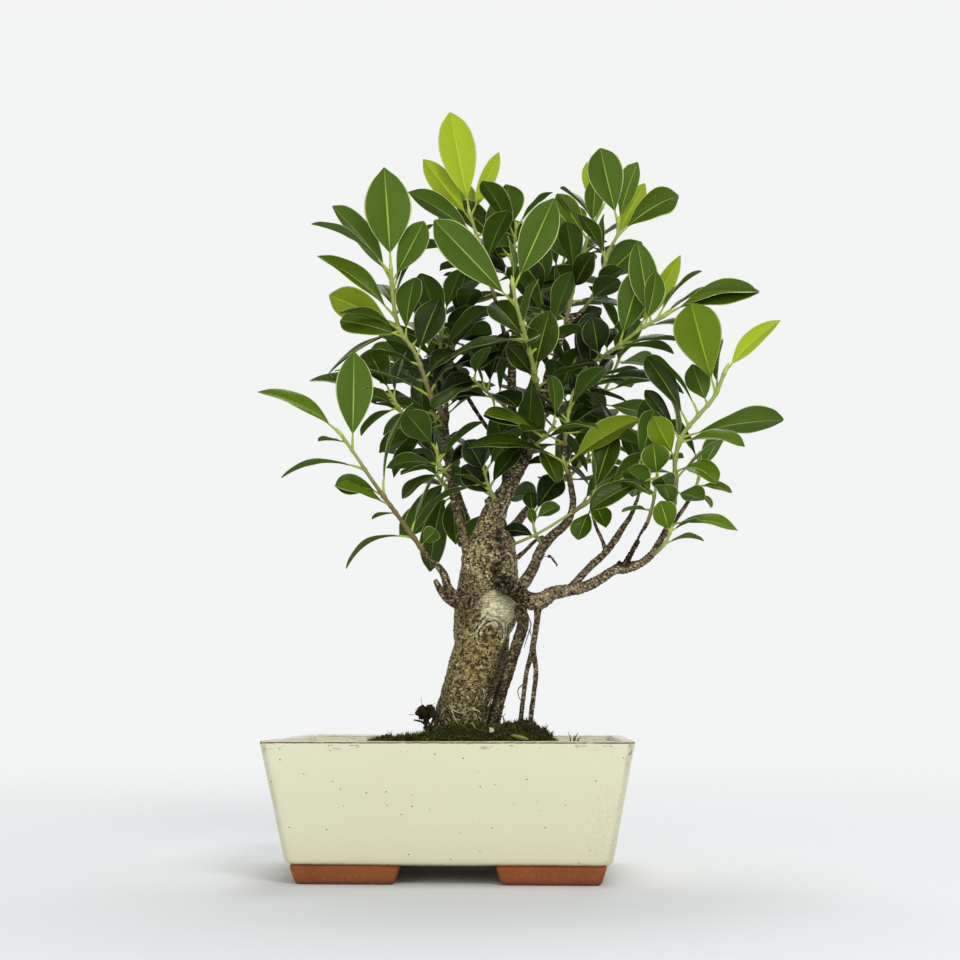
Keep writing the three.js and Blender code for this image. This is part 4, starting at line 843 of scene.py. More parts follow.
def make_feet():
    """Four corner feet of bare clay, which lean in towards the table."""
    along, across, thick, draft = (FOOT[k] for k in ("along", "across", "thick", "draft"))
    outline = [(0, 0), (along, 0), (along, thick), (thick, thick), (thick, across), (0, across)]
    shape = Shape()
    corner_x = POT["length"] / 2 - POT["inset"] - FOOT["set_back"]
    corner_y = POT["width"] / 2 - POT["inset"] - FOOT["set_back"]
    for sign_x in (-1, 1):
        for sign_y in (-1, 1):
            top = np.array([(x, y, POT["glaze_foot"] + 0.2) for x, y in outline])
            low = np.array(
                [
                    (
                        x - 1 if x == thick else draft + (along - 2 * draft) * x / along,
                        y - 1 if y == thick else draft / 2 + (across - 2 * draft) * y / across,
                        0,
                    )
                    for x, y in outline
                ]
            )
            points = np.vstack([low + (top - low) * share for share in (0, 0.35, 0.7, 1)])
            points[:, 0] = sign_x * (corner_x - points[:, 0])
            points[:, 1] = sign_y * (corner_y - points[:, 1])
            caps = [[0, 3, 2, 1], [0, 5, 4, 3], [18, 19, 20, 21], [18, 21, 22, 23]]
            faces = np.vstack([ring_faces(4, len(outline)), caps])
            if sign_x * sign_y < 0:
                faces = faces[:, ::-1]
            shape.add(MIDDLE + points * MM, faces, clay=np.zeros(3))
    mesh = applied(
        shape.mesh("pot_feet"),
        ("BEVEL", {"width": 2.2 * MM, "segments": 3, "limit_method": "ANGLE", "angle_limit": 0.7}),
        ("REMESH", {"mode": "VOXEL", "voxel_size": 1.1 * MM}),
        ("SMOOTH", {"factor": 0.5, "iterations": 2}),
    )
    points = vectors_of(mesh, "co")
    dents = 0.25 * rough(points, 9) + 0.1 * rough(points, 3, 1)
    points = points + vectors_of(mesh, "normal") * dents[:, None] * MM
    points[:, 2] = np.maximum(points[:, 2], 0)
    set_points(mesh, points)
    place_object("pot_feet", mesh, clay_material(), "terracotta")


# ---------------------------------------------------------------- wood

# Each limb's (pixel x, pixel y, depth, radius), from its foot outwards. The trunk's are the trunk, a
# dead stub, the left branch's foot, the swelling, and three flaring roots.
WOOD = {
    "trunk": [
        [(472, 778, 5, 20), (467, 748, 5, 24), (463, 724, 4, 20.5), (466, 700, 3, 18.3),
         (474, 672, 2, 19), (481, 645, 2, 19.4), (482, 628, 2, 21), (486, 611, 2, 23.5),
         (487, 594, 3, 22.5), (488, 576, 4, 21), (489, 558, 5, 20), (490, 541, 6, 17.5),
         (490, 526, 6, 10.5), (495, 511, 6, 9), (503, 497, 6, 7.5), (510, 485, 7, 6.5)],
        [(492, 505, 2, 5), (489, 498, 0, 4.4)],
        [(470, 606, -4, 6), (452, 600, -10, 4.5), (442, 592, -14, 3.2), (435, 580, -17, 2)],
        [(500, 608, -4, 14), (512, 608, -4, 10.5)],
        [(455, 735, 0, 11), (437, 750, -4, 7), (420, 764, -6, 5)],
        [(470, 738, -10, 10), (470, 752, -24, 7), (468, 770, -34, 5)],
        [(478, 735, 12, 10), (500, 752, 26, 7), (520, 768, 34, 5)],
    ],
    "leader_right": [
        [(506, 493, 6, 6.6), (517, 471, 4, 5.8), (526, 456, 2, 5.2), (533, 438, 0, 4.8),
         (538, 420, -2, 4.2), (540, 403, -3, 4), (546, 385, -2, 3.3), (549, 371, 0, 3),
         (556, 357, 2, 2.8), (560, 341, 4, 2.5), (567, 326, 5, 2.2), (581, 312, 6, 1.8)],
    ],
    "leader_middle": [
        [(508, 496, 12, 5.2), (508, 475, 20, 5), (512, 442, 26, 4.2), (512, 403, 28, 3.6),
         (512, 370, 28, 3.6), (514, 346, 30, 2.6), (514, 322, 33, 2.2), (511, 298, 36, 1.7)],
        [(512, 368, 28, 2.6), (506, 342, 26, 2), (501, 320, 22, 1.8), (494, 296, 16, 1.6)],
    ],
    "left_riser": [
        [(469, 556, -2, 5), (461, 526, -8, 3.2), (454, 500, -10, 2.7), (450, 478, -10, 2.5),
         (447, 458, -10, 2.4), (444, 438, -10, 2.2), (446, 418, -11, 2), (446, 400, -12, 1.8),
         (442, 380, -12, 1.6)],
        [(447, 456, -11, 1.9), (434, 450, -15, 1.7), (424, 443, -19, 1.6), (414, 429, -23, 1.5),
         (406, 418, -26, 1.4)],
    ],
    "left_low_branch": [
        [(459, 600, -8, 4.6), (448, 588, -15, 3.6), (445, 577, -18, 3.1), (439, 567, -20, 2.8),
         (430, 560, -22, 2.3), (421, 548, -24, 2)],
    ],
    "diagonal_branch": [
        [(511, 452, 25, 2.4), (490, 431, 24, 2), (476, 411, 22, 1.8), (464, 391, 20, 1.7),
         (456, 376, 18, 1.5)],
    ],
    "right_low_branch": [
        [(490, 576, -8, 5), (503, 583, -20, 6), (516, 591, -27, 6.3), (530, 601, -27, 6.6),
         (542, 600, -25, 6), (553, 593, -25, 5.2), (565, 591, -26, 4.9), (584, 587, -27, 4.3),
         (600, 579, -28, 4), (614, 570, -28, 3.7), (624, 568, -28, 4.5), (641, 563, -28, 3),
         (652, 554, -28, 2.8), (660, 541, -28, 2.5), (667, 528, -28, 2.2)],
        [(624, 566, -28, 2.6), (633, 550, -34, 2.1), (640, 537, -37, 1.8), (647, 523, -39, 1.6)],
        [(622, 566, -28, 2.6), (618, 562, -28, 1.9)],
    ],
    "right_spur_inner": [
        [(570, 588, -27, 3.2), (589, 568, -24, 2.9), (606, 552, -22, 2.8), (615, 540, -20, 2.9),
         (622, 529, -18, 2.4), (631, 515, -16, 1.8), (637, 500, -14, 1.4)],
        [(606, 551, -22, 1.8), (602, 540, -18, 1.5), (597, 529, -14, 1.4), (593, 517, -10, 1.2)],
    ],
    "right_spur_outer": [
        [(662, 538, -28, 2.2), (674, 522, -20, 1.9), (684, 508, -12, 1.7), (692, 495, -6, 1.5)],
    ],
    "right_middle_branch": [
        [(512, 594, 6, 5), (526, 580, 9, 4.6), (535, 564, 8, 4.3), (541, 550, 4, 4.1),
         (552, 536, -2, 3.8), (564, 526, -6, 3.4), (571, 514, -10, 3), (573, 500, -14, 2.7),
         (571, 487, -17, 2.4), (568, 472, -20, 2.3), (565, 456, -23, 2), (564, 445, -25, 1.8)],
        [(517, 558, 4, 2.2), (527, 549, 4, 1.6), (535, 541, 2, 1.5), (543, 536, 0, 1.3)],
    ],
    "back_left_branch": [
        [(482, 556, 10, 5), (468, 524, 36, 3.6), (457, 492, 60, 3), (450, 458, 80, 2.5),
         (446, 424, 96, 2)],
    ],
    "back_right_branch": [
        [(498, 552, 12, 5), (516, 524, 40, 3.6), (540, 494, 66, 3), (566, 458, 86, 2.5),
         (588, 420, 100, 2)],
    ],
    "back_middle_branch": [
        [(511, 450, 27, 3), (519, 424, 48, 2.5), (528, 394, 68, 2.2), (538, 360, 84, 2),
         (546, 330, 94, 1.7)],
    ],
    "aerial_root_thick": [
        [(520, 606, -12, 5.5), (523, 622, -14, 4.6), (517, 644, -15, 4), (511, 663, -15, 4.3),
         (505, 682, -15, 5), (499, 700, -15, 5.6), (494, 720, -15, 6.2), (489, 742, -14, 7),
         (484, 766, -12, 5)],
    ],
    "aerial_root_forked": [
        [(538, 604, -24, 3), (537, 620, -22, 2.4), (535, 634, -20, 2.1), (532, 652, -18, 2.3),
         (527, 670, -17, 1.8), (524, 692, -16, 1.7), (521, 718, -14, 2), (519, 742, -12, 3),
         (518, 758, -12, 2)],
        [(533, 648, -19, 2), (536, 672, -19, 1.8), (534, 692, -19, 1.8), (531, 718, -18, 2),
         (531, 742, -17, 3), (532, 758, -16, 2)],
    ],
}

# Thin loose roots and a curled dry leaf: radius in millimetres, how pale from 0 to 1, then the
# (pixel x, pixel y, depth) of its bends.
HAIR_ROOTS = [
    (0.5, 0, [(527, 614, -20), (531, 624, -23), (530, 631, -25), (533, 640, -22)]),
    (0.45, 0, [(530, 629, -24), (527, 638, -26), (524, 648, -27)]),
    (0.45, 0, [(523, 684, -15), (518, 690, -18), (519, 697, -18), (522, 702, -15)]),
    (0.5, 0.3, [(499, 714, -20), (503, 709, -22), (505, 706, -23)]),
    (0.5, 0.3, [(497, 712, -21), (502, 716, -23), (506, 723, -24), (507, 732, -23)]),
    (0.4, 0, [(536, 560, 4), (542, 557, 2), (549, 556, 1)]),
    (1.1, 0, [(548, 556, 1), (551, 557, 1), (554, 561, 0), (557, 565, 0), (556, 566, 0)]),
    (0.5, 0.8, [(449, 705, -14), (455, 711, -17), (461, 713, -19), (464, 712, -18)]),
    (0.45, 0.8, [(451, 708, -15), (454, 716, -19), (457, 722, -22), (462, 728, -24)]),
    (0.45, 0.8, [(472, 708, -19), (477, 710, -19), (481, 713, -17)]),
    (0.45, 0.6, [(446, 722, -17), (450, 727, -24), (455, 735, -36)]),
    (0.5, 0.6, [(472, 723, -20), (476, 729, -30), (479, 735, -38)]),
]
FIBRES = 34
FIBRE_COLUMNS = (444, 492)
FIBRE_ROWS = (688, 734)
FLARE = (467, 22, 3)  # the trunk's foot: pixel column, radius in millimetres and depth

BURR = seen(492, 636, -19)
BURR_KNOB = seen(494, 626, -20)
BURR_DIMPLE = seen(488, 640, -19)
SWELLING = seen(505, 607, -21)
BROWN_PATCH = seen(466, 600, -19)
# Grooves, dug in and painted dark with shade: one down the trunk's front and under the right limb, one
# beside the aerial root.
FRONT_GROOVE = [(496, 532, -7), (501, 545, -12), (504, 556, -14), (498, 567, -16), (500, 580, -17),
                (509, 592, -21), (519, 605, -24)]
ROOT_GROOVE = [(508, 648, -8), (504, 664, -9), (498, 684, -10), (491, 704, -12), (485, 724, -13)]

LIMB_STEP = 1.5  # from one point of a limb to the next, in millimetres
FACET = 1.3  # width of each side of a limb before it is remeshed, in millimetres
PORE = 3  # size of the bark's raised pores, in millimetres
STOUT = 14  # radius in millimetres from which a limb's bark is at its roughest


def add_limb(shape, run):
    """Adds a limb, and gives its core: points, directions, radii and distance from its foot."""
    path, place, far = smooth_path([seen(*stop[:3]) for stop in run], LIMB_STEP * MM)
    radii = np.interp(place, np.arange(len(run)), [stop[3] for stop in run]) * MM
    sides = int(np.clip(2 * math.pi * radii.max() / (FACET * MM), 10, 72))
    add_tube(shape, path, radii, sides, wood=np.zeros(3))
    return np.column_stack([path, path_frames(path)[0], radii, far])


def search_tree(points):
    tree = KDTree(len(points))
    for i, point in enumerate(points):
        tree.insert(point, i)
    tree.balance()
    return tree


def pore_height(points):
    """Raised pores in level rows, from 0 to 1."""
    found = []
    for x, y, z in points / (PORE * MM):
        near, _ = noise.voronoi(Vector((x, y, 1.6 * z)))
        found.append(near[0])
    return np.clip(1 - (np.array(found) - 0.1) / 0.3, 0, 1)


def distance_to(points, spot, across=1, upwards=1):
    """Distance from a spot, counted less across or upwards where those are above 1."""
    return np.linalg.norm((points - spot) / [across, 1, upwards], axis=1)


def gap_to(points, stops):
    """Distance from each point to a line through stops."""
    tree = search_tree(seen_path(stops, 0.8)[0])
    return np.array([tree.find(p)[2] for p in points])


def trunk_features(points):
    """Lift in millimetres, painted shade in hollows, and pale and brown shares for the trunk's own
    features.
    """
    patchy = np.clip(0.55 + 1.3 * rough(points, 5, 11), 0, 1)
    swelling = bump(distance_to(points, SWELLING, 1.3, 1.2), 12)
    wrinkles = 0.3 * np.sin(points[:, 2] / (0.42 * MM) + 2 * rough(points, 6, 8))

    from_burr = distance_to(points, BURR, 1, 1.25) * (1 + 0.13 * rough(points, 9, 5))
    from_burr += 0.9 * MM * rough(points, 3, 12)
    ring = bump(from_burr - 10 * MM, 3.4) * np.clip(0.9 + 0.9 * rough(points, 5, 13), 0, 1)
    ring *= smoothed(points[:, 2] - BURR[2], -11 * MM, 2 * MM)
    folds = np.sin(from_burr / (0.5 * MM))
    knob = bump(distance_to(points, BURR_KNOB), 2.4)
    moat = np.clip(bump(distance_to(points, BURR_KNOB), 4.8) - 1.6 * knob, 0, 1)
    dimple = bump(distance_to(points, BURR_DIMPLE), 3)
    burr = 1.5 * bump(from_burr, 9) + ring * (0.8 + 0.4 * folds) + 1.4 * knob
    burr -= 0.9 * moat + 1.3 * dimple

    front, root = gap_to(points, FRONT_GROOVE), gap_to(points, ROOT_GROOVE)
    under_limb = smoothed(SWELLING[2] + 18 * MM - points[:, 2], 0, 10 * MM)
    groove = bump(front, 4) * np.clip(0.8 * patchy + 0.55 * under_limb, 0, 1)
    crease = bump(root, 5)
    lift = burr + (3.6 + wrinkles) * swelling - 3.2 * groove - 1.4 * crease
    # Painted shade in the grooves, the crease, the burr's moat and dimple, and the troughs of its
    # rings.
    hollow_shade = 1.2 * groove + 1.1 * crease + 0.55 * moat + 0.8 * dimple + 0.5 * ring * (folds < -0.3)
    brown = 0.9 * bump(distance_to(points, BROWN_PATCH, 1, 1.5), 11)
    brown += bump(front, 9) * (0.3 + 0.7 * patchy)
    # Part of the pale share is a painted highlight on the crests of the burr's rings.
    pale = np.clip(2.1 * swelling - 0.35, 0, 1) + 0.85 * ring * (folds > -0.2) + 1.3 * knob
    return lift, np.clip(hollow_shade, 0, 1), np.clip(pale - groove - moat, 0, 1), np.clip(brown, 0, 1)


def grow_wood(name, limbs, material, voxel):
    """One named piece of wood: its limbs fused, then roughened as bark."""
    shape = Shape()
    cores = np.vstack([add_limb(shape, run) for run in limbs])
    mesh = applied(
        shape.mesh(name),
        ("REMESH", {"mode": "VOXEL", "voxel_size": voxel * MM}),
        ("SMOOTH", {"factor": 0.6, "iterations": 4}),
    )
    points = vectors_of(mesh, "co")
    tree = search_tree(cores[:, :3])
    core = cores[[tree.find(p)[1] for p in points]]
    girths = core[:, 6]
    along = core[:, 7] + ((points - core[:, :3]) * core[:, 3:6]).sum(axis=1)
    thick = np.clip(girths / (STOUT * MM), 0.12, 1)
    pores = pore_height(points)
    relief = thick * (1.5 * rough(points, 24) + 1.1 * rough(points, 8, 1))
    relief += np.clip(thick * 2, 0.35, 1) * (0.4 * rough(points, 2.6, 2) + 0.42 * pores)
    slim = np.clip(1.3 - thick, 0, 1)
    relief += slim * np.clip(thick * 2.5, 0.2, 1) * (0.5 * rough(points, 5, 7) - 0.45)
    banded = 0.0 if "root" in name or name == "trunk" else 0.35
    if name == "right_low_branch":
        banded = 1.0
    relief += banded * slim * 0.16 * np.sin(along / (0.45 * MM) + 3 * rough(points, 8, 3))
    hollow_shade = pale = brown = np.zeros(len(points))
    if name == "trunk":
        extra, hollow_shade, pale, brown = trunk_features(points)
        relief += extra
    if name == "right_low_branch":
        brown = 1 - smoothed(along, 34 * MM, 50 * MM)
        furrows = rough(points - core[:, 3:6] * (0.75 * along)[:, None], 2.3, 9)
        # Painted shade in the furrows at the limb's foot.
        hollow_shade = np.clip(3.4 * furrows, 0, 1) * brown
        relief -= 1.8 * hollow_shade
        banded = 1 - brown
    if name == "aerial_root_thick":
        brown = np.clip(0.5 + rough(points, 7, 4), 0, 0.9)
        lower = smoothed(along, 35 * MM, 60 * MM)
        relief -= 0.8 * lower
        # Painted shade on the left side of the root's lower part, towards the trunk.
        hollow_shade = 0.95 * lower * smoothed(-vectors_of(mesh, "normal")[:, 0], 0.1, 0.6)
    set_points(mesh, points + vectors_of(mesh, "normal") * relief[:, None] * MM)
    set_mark(mesh, "bark", np.column_stack([girths, along, hollow_shade]))
    set_mark(mesh, "bark_tone", np.column_stack([pale, brown, np.broadcast_to(banded, len(points))]))
    place_object(name, mesh, material, "bark", name)


def trunk_fibres():
    """Short fibrous roots on the front of the trunk's foot."""
    middle, radius, depth = FLARE
    for _ in range(FIBRES):
        px, py = RANDOM.uniform(*FIBRE_COLUMNS), RANDOM.uniform(*FIBRE_ROWS)
        slope = RANDOM.uniform(-1, 1)
        stops = []
        for _ in range(4):
            aside = (px - middle) * 0.7
            front = depth - math.sqrt(max(radius**2 - aside**2, 9)) - RANDOM.uniform(0, 0.7)
            stops.append((px, py, front))
            px += RANDOM.uniform(0.8, 3.2) * slope
            py += RANDOM.uniform(0.4, 3.2)
        yield RANDOM.uniform(0.32, 0.55), RANDOM.uniform(0.2, 1), stops


# A limb with a greater radius than the first number is remeshed at the second; both millimetres.
FINENESS = ((10, 0.68), (4, 0.5), (0, 0.4))


def make_wood():
    material = bark_material()
    for name, limbs in WOOD.items():
        widest = max(stop[3] for run in limbs for stop in run)
        voxel = next(size for radius, size in FINENESS if widest > radius)
        grow_wood(name, limbs, material, voxel)
    shape = Shape()
    for radius, pale, stops in HAIR_ROOTS + list(trunk_fibres()):
        path, far = seen_path(stops, 0.5)
        radii = radius * MM * (1 - 0.5 * far / far[-1]) * (1 + 0.3 * rough(path, 2, 6))
        marks = np.column_stack([radii, far, 0 * far])
        add_tube(shape, path, radii, 8, bark=marks, bark_tone=[pale, 0.5 * (1 - pale), 0])
    place_object("hair_roots", shape, material, "bark")


# ---------------------------------------------------------------- shoots

# Each shoot's stem as (pixel x, pixel y, depth), then its radius at foot and end. A shoot's piece
# and node are called by its name here with _shoot after it.
STEMS = {
    "left_tip": ([(423, 551, -24), (412, 535, -32), (401, 520, -40), (390, 505, -48), (372, 480, -56),
         (356, 456, -62), (342, 436, -68)], (2, 1.2)),
    "left_side": ([(407, 419, -26), (401, 411, -28), (396, 403, -30), (391, 394, -31)], (1.4, 1)),
    "riser_low": ([(450, 478, -12), (443, 470, -18), (438, 461, -22), (437, 450, -24)], (1.3, 1)),
    "upper_left": ([(446, 420, -14), (432, 398, -26), (422, 370, -36), (414, 351, -41), (400, 330, -46),
         (393, 300, -49), (391, 270, -51)], (2, 1.3)),
    "inner_left": ([(442, 382, -12), (440, 362, -8), (441, 340, -4), (444, 316, 2)], (1.5, 1)),
    "diagonal": ([(457, 378, 18), (452, 362, 16), (454, 342, 12), (460, 322, 8)], (1.4, 1)),
    "crown_left": ([(495, 298, 16), (487, 272, 13), (478, 240, 9), (470, 214, 6)], (1.7, 1.2)),
    "middle_top": ([(511, 299, 36), (512, 276, 32), (514, 252, 28), (516, 228, 24)], (1.6, 1.1)),
    "crown_middle": ([(539, 404, -6), (536, 380, -34), (531, 357, -52), (523, 328, -68),
         (516, 303, -80), (513, 286, -86)], (2.2, 1.3)),
    "leader_right": ([(556, 358, 4), (552, 340, 12), (546, 318, 18), (541, 296, 22)], (1.5, 1)),
    "crown_right_front": ([(582, 312, 6), (596, 290, 0), (602, 272, -6), (609, 250, -12),
         (617, 236, -17), (618, 224, -18)], (1.6, 1.1)),
    "crown_right_back": ([(565, 328, 8), (571, 298, 22), (580, 262, 36), (592, 228, 48),
         (602, 208, 56)], (2, 1.3)),
    "right_upper": ([(548, 372, 0), (572, 368, -12), (598, 359, -24), (618, 346, -38), (642, 328, -52),
         (664, 316, -60)], (1.9, 1.2)),
    "right_inner": ([(541, 412, -3), (556, 396, -6), (572, 384, -10), (592, 382, -14)], (1.9, 1.2)),
    "right": ([(667, 529, -28), (673, 508, -32), (676, 484, -38), (675, 462, -44), (682, 436, -52),
         (698, 416, -60), (714, 397, -66), (724, 374, -72)], (2.1, 1.5)),
    "right_low_spur": ([(653, 555, -29), (661, 548, -33), (667, 540, -36),
         (670, 532, -38)], (1.7, 1.1)),
    "right_spur_middle": ([(647, 524, -39), (652, 508, -41), (655, 492, -42),
         (657, 478, -43)], (1.6, 1.1)),
    "right_spur_outer": ([(692, 496, -6), (697, 484, 8), (700, 470, 20), (700, 456, 28)], (1.5, 1.1)),
    "right_spur_inner": ([(637, 501, -14), (641, 484, -4), (642, 464, 8), (640, 444, 16)], (1.4, 1)),
    "right_spur_twig": ([(593, 518, -10), (591, 504, -4), (592, 488, 2), (596, 470, 6)], (1.2, 0.9)),
    "right_middle": ([(564, 446, -25), (566, 432, -27), (569, 410, -29), (572, 396, -30)], (1.8, 1)),
    "right_middle_front": ([(568, 474, -22), (566, 468, -28), (564, 461, -32)], (1.5, 1)),
    "right_middle_side": ([(573, 512, -14), (586, 503, -20), (604, 492, -26), (622, 480, -30),
         (641, 467, -33)], (1.9, 1.3)),
    "crossing": ([(507, 547, -8), (519, 542, -13), (535, 535, -15), (551, 526, -16), (565, 517, -15),
         (575, 511, -14)], (1.3, 1.2)),
    "right_middle_low": ([(543, 548, 2), (538, 538, -8), (534, 528, -14), (533, 516, -16)], (1.4, 1)),
    "leader_low": ([(500, 506, 6), (492, 494, -8), (487, 482, -14), (484, 468, -16)], (1.6, 1.1)),
    "middle_front": ([(512, 414, 26), (500, 402, 6), (487, 392, -20), (474, 380, -40)], (1.5, 1)),
    "leader_side": ([(536, 426, 0), (548, 414, 10), (562, 398, 18), (578, 384, 24)], (1.6, 1)),
    "leader_front": ([(527, 456, 2), (534, 446, -16), (546, 436, -38), (554, 424, -54)], (1.4, 1)),
    "left_inner_side": ([(446, 426, -11), (434, 414, 6), (423, 400, 22), (415, 384, 34)], (1.5, 1)),
    "back_left_low": ([(458, 496, 60), (446, 486, 58), (436, 474, 58), (430, 458, 60)], (1.7, 1.1)),
    "back_left": ([(446, 426, 96), (440, 400, 104), (434, 370, 110), (430, 340, 112)], (1.8, 1.1)),
    "back_right_low": ([(541, 494, 66), (556, 486, 64), (572, 474, 66), (588, 458, 72)], (1.7, 1.1)),
    "back_right": ([(588, 422, 100), (604, 392, 106), (618, 362, 108), (626, 332, 104)], (1.8, 1.1)),
    "back_middle": ([(546, 331, 94), (552, 304, 98), (560, 274, 96), (568, 246, 90)], (1.7, 1.1)),
}

STEM_STEP = 0.9  # from one point of a stem to the next, in millimetres
PETIOLE = 0.16  # share of the whole leaf that is stalk
STATIONS = (1, 0.7312, 0.4456)  # the frame's leaves have points at these shares of their length
FOLD = math.radians(14)  # each half of a leaf rises from its midrib
FULLNESS = (0.86, 0.95)  # share of a frame leaf's width at its two middle stations
STEM_SLIMMING = 0.84
WOODY_SHOOTS = {"left_tip": 0.45, "upper_left": 0.2}  # how much further these have browned
CROWN = seen(518, 385, 35)
CROWN_SIZE = (170, 150, 170)  # half the crown's size each way, in millimetres
BLADE_THICKNESS = (0.6 * MM, 1.1 * MM)  # of the frame's leaves, and of nothing else in a shoot
YOUNG_THICKNESS = 0.82 * MM  # a frame leaf thinner than this is a young one
LEAST_TIP = 4 * MM  # a frame leaf's tip is further than this from the ring of points before it


def welded(mesh):
    """A frame mesh's distinct points, and the neighbours of each."""
    points = vectors_of(mesh, "co")
    cells = np.round(points / (0.02 * MM)).astype(int)
    _, first, same = np.unique(cells, axis=0, return_index=True, return_inverse=True)
    same = same.ravel()
    neighbours = [set() for _ in first]
    for edge in mesh.edges:
        a, b = (int(same[v]) for v in edge.vertices)
        if a != b:
            neighbours[a].add(b)
            neighbours[b].add(a)
    return points[first], neighbours


def sorted_ring(points, ring):
    """A leaf ring's thin pair and wide pair of points, and how far apart each pair is."""
    pairs = [(i, j) for n, i in enumerate(ring) for j in ring[n + 1 :]]
    gap = {pair: np.linalg.norm(points[pair[0]] - points[pair[1]]) for pair in pairs}
    thin = min(pairs, key=gap.get)
    wide = tuple(i for i in ring if i not in thin)
    return thin, wide, gap[thin], gap[tuple(sorted(wide, key=ring.index))]


def leaf_record(root, spots, up, width, young=False, tone=None):
    """A leaf: its foot, the spots on its midrib at STATIONS, the way its upper side looks, and more."""
    return {"root": root, "spots": spots, "up": up, "width": width, "young": young, "tone": tone}


def leaf_middle(leaf):
    return (leaf["root"] + leaf["spots"][0]) / 2


def stem_path(shoot):
    return seen_path(STEMS[shoot][0], STEM_STEP)


def read_leaves(node):
    """The leaves of a frame shoot, and none for the bare stem that has no node."""
    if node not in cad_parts:
        return []
    points, neighbours = welded(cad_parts[node].data)
    leaves = []
    for tip, around in enumerate(neighbours):
        if len(around) != 4:
            continue
        outer = sorted(around)
        if min(np.linalg.norm(points[i] - points[tip]) for i in outer) < LEAST_TIP:
            continue
        thin, wide, thickness, breadth = sorted_ring(points, outer)
        if not BLADE_THICKNESS[0] < thickness < BLADE_THICKNESS[1]:
            continue
        inner = sorted(set().union(*(neighbours[i] for i in outer)) - {tip, *outer})
        if len(inner) != 4:
            continue
        thin_in, wide_in, _, breadth_in = sorted_ring(points, inner)
        middle, middle_in = points[list(thin)].mean(0), points[list(thin_in)].mean(0)
        lift = points[list(wide)].mean(0) - middle + points[list(wide_in)].mean(0) - middle_in
        a, b, c = STATIONS  # a parabola through the midrib's three points leads back to the foot
        root = b * c / ((a - b) * (a - c)) * points[tip] + a * c / ((b - a) * (b - c)) * middle
        root += a * b / ((c - a) * (c - b)) * middle_in
        width = max(breadth / FULLNESS[0], breadth_in / FULLNESS[1]) / math.cos(FOLD)
        spots = (points[tip], middle, middle_in)
        up = lift / np.linalg.norm(lift)
        leaves.append(leaf_record(root, spots, up, width, young=thickness < YOUNG_THICKNESS))
    return leaves


# How many more leaves each shoot has inside the crown, where the photograph shows only a mass.
HIDDEN = dict(
    upper_left=7, inner_left=8, diagonal=8, crown_left=7, middle_top=7, crown_middle=7, leader_right=6,
    middle_front=5, left_inner_side=5, riser_low=3, leader_low=6, leader_side=5, right_inner=4,
    right_middle=4, back_left=6, back_left_low=2, back_middle=6, crown_right_back=5, back_right=5
)
GOLDEN_ANGLE = math.radians(137.5)
# The leaves inside the crown: where on the stem they start and over what share of it they go, how
# far they point along it, length in millimetres, droop, roll, and width as a share of the length.
INNER_START, INNER_SPAN = 0.06, 0.8
INNER_FORWARD = (0.15, 0.6)
INNER_LENGTH = (44, 62)
INNER_DROOP = (0.05, 0.4)
INNER_ROLL = 0.5
INNER_WIDTH = (0.36, 0.46)
# The broad young leaf that has turned greener than its neighbours, how near a leaf's middle must be
# to be this one, and its tone.
RIPEST, RIPEST_REACH, RIPEST_TONE = seen(703, 348, -70), 12 * MM, 0.05
# How lime the young leaves are, where a shoot's differ from the others'.
LIME_SHARES = {"right_middle": 0.5, "right_middle_front": 0.6, "upper_left": 1.3}


def hidden_leaves(shoot):
    """Leaves in a spiral up the stem, turned away from the crown's front."""
    path = stem_path(shoot)[0]
    tangents, first, second = path_frames(path)
    leaves = []
    count = HIDDEN.get(shoot, 0)
    for i in range(count):
        at = int((INNER_START + INNER_SPAN * i / count) * (len(path) - 1))
        turn = i * GOLDEN_ANGLE + 1
        out = first[at] * math.cos(turn) + second[at] * math.sin(turn)
        ahead = tangents[at] * RANDOM.uniform(*INNER_FORWARD) + out
        ahead[1] = abs(ahead[1]) + 0.05
        ahead /= np.linalg.norm(ahead)
        length = RANDOM.uniform(*INNER_LENGTH) * MM
        droop = RANDOM.uniform(*INNER_DROOP)
        across = np.cross(ahead, UP)
        across /= np.linalg.norm(across)
        roll = RANDOM.normal(0, INNER_ROLL)
        up = np.cross(across, ahead) * math.cos(roll) + across * math.sin(roll)
        spots = [path[at] + (ahead * k - UP * droop * k * k) * length for k in STATIONS]
        leaves.append(leaf_record(path[at], spots, up, length * RANDOM.uniform(*INNER_WIDTH)))
    return leaves


# Leaves that stand out at the crown's front: shoot, the foot's and the tip's pixel, how far the tip
# lies behind the foot, width, tilt in degrees from facing the viewer to facing up, arch as a share
# of the length, and tone from 0, darkest, to 1, lightest green.
PLACED = [
    ("crown_right_front", (617, 237), (679, 196), -6, 26, 25, 0.08, 0.55),
    ("right_upper", (664, 317), (759, 293), -12, 20, 12, 0.09, 0.6),
    ("right_inner", (592, 384), (588, 318), -14, 19, 10, -0.05, 0),
    ("right", (690, 427), (646, 358), 12, 18, 20, 0.06, 0.15),
    ("right", (680, 440), (645, 390), 8, 11, 20, 0.04, 0.05),
    ("right_spur_middle", (657, 478), (590, 510), -14, 18, 35, 0.06, 0.25),
    ("middle_top", (513, 262), (456, 203), -14, 20, 20, 0.06, 0.3),
    ("crown_right_back", (590, 232), (556, 194), -10, 14, 40, 0.05, 0.05),
    ("upper_left", (432, 398), (334, 371), -30, 13, 70, 0.1, 0.45),
    ("leader_front", (544, 438), (484, 414), -14, 16, 45, 0.08, 0.75),
    ("right_middle_low", (533, 512), (561, 477), 14, 20, 10, 0.06, 0.05),
    ("right_middle_low", (539, 539), (503, 532), 12, 12, 20, 0.1, 0),
    ("right_middle_low", (534, 530), (530, 508), -8, 7, 15, 0.05, 0.5),
    ("right_middle_front", (567, 471), (528, 463), 26, 12, 40, 0.08, 0.1),
    ("left_tip", (381, 498), (335, 486), -5, 15, 5, 0.1, 0.5),
]


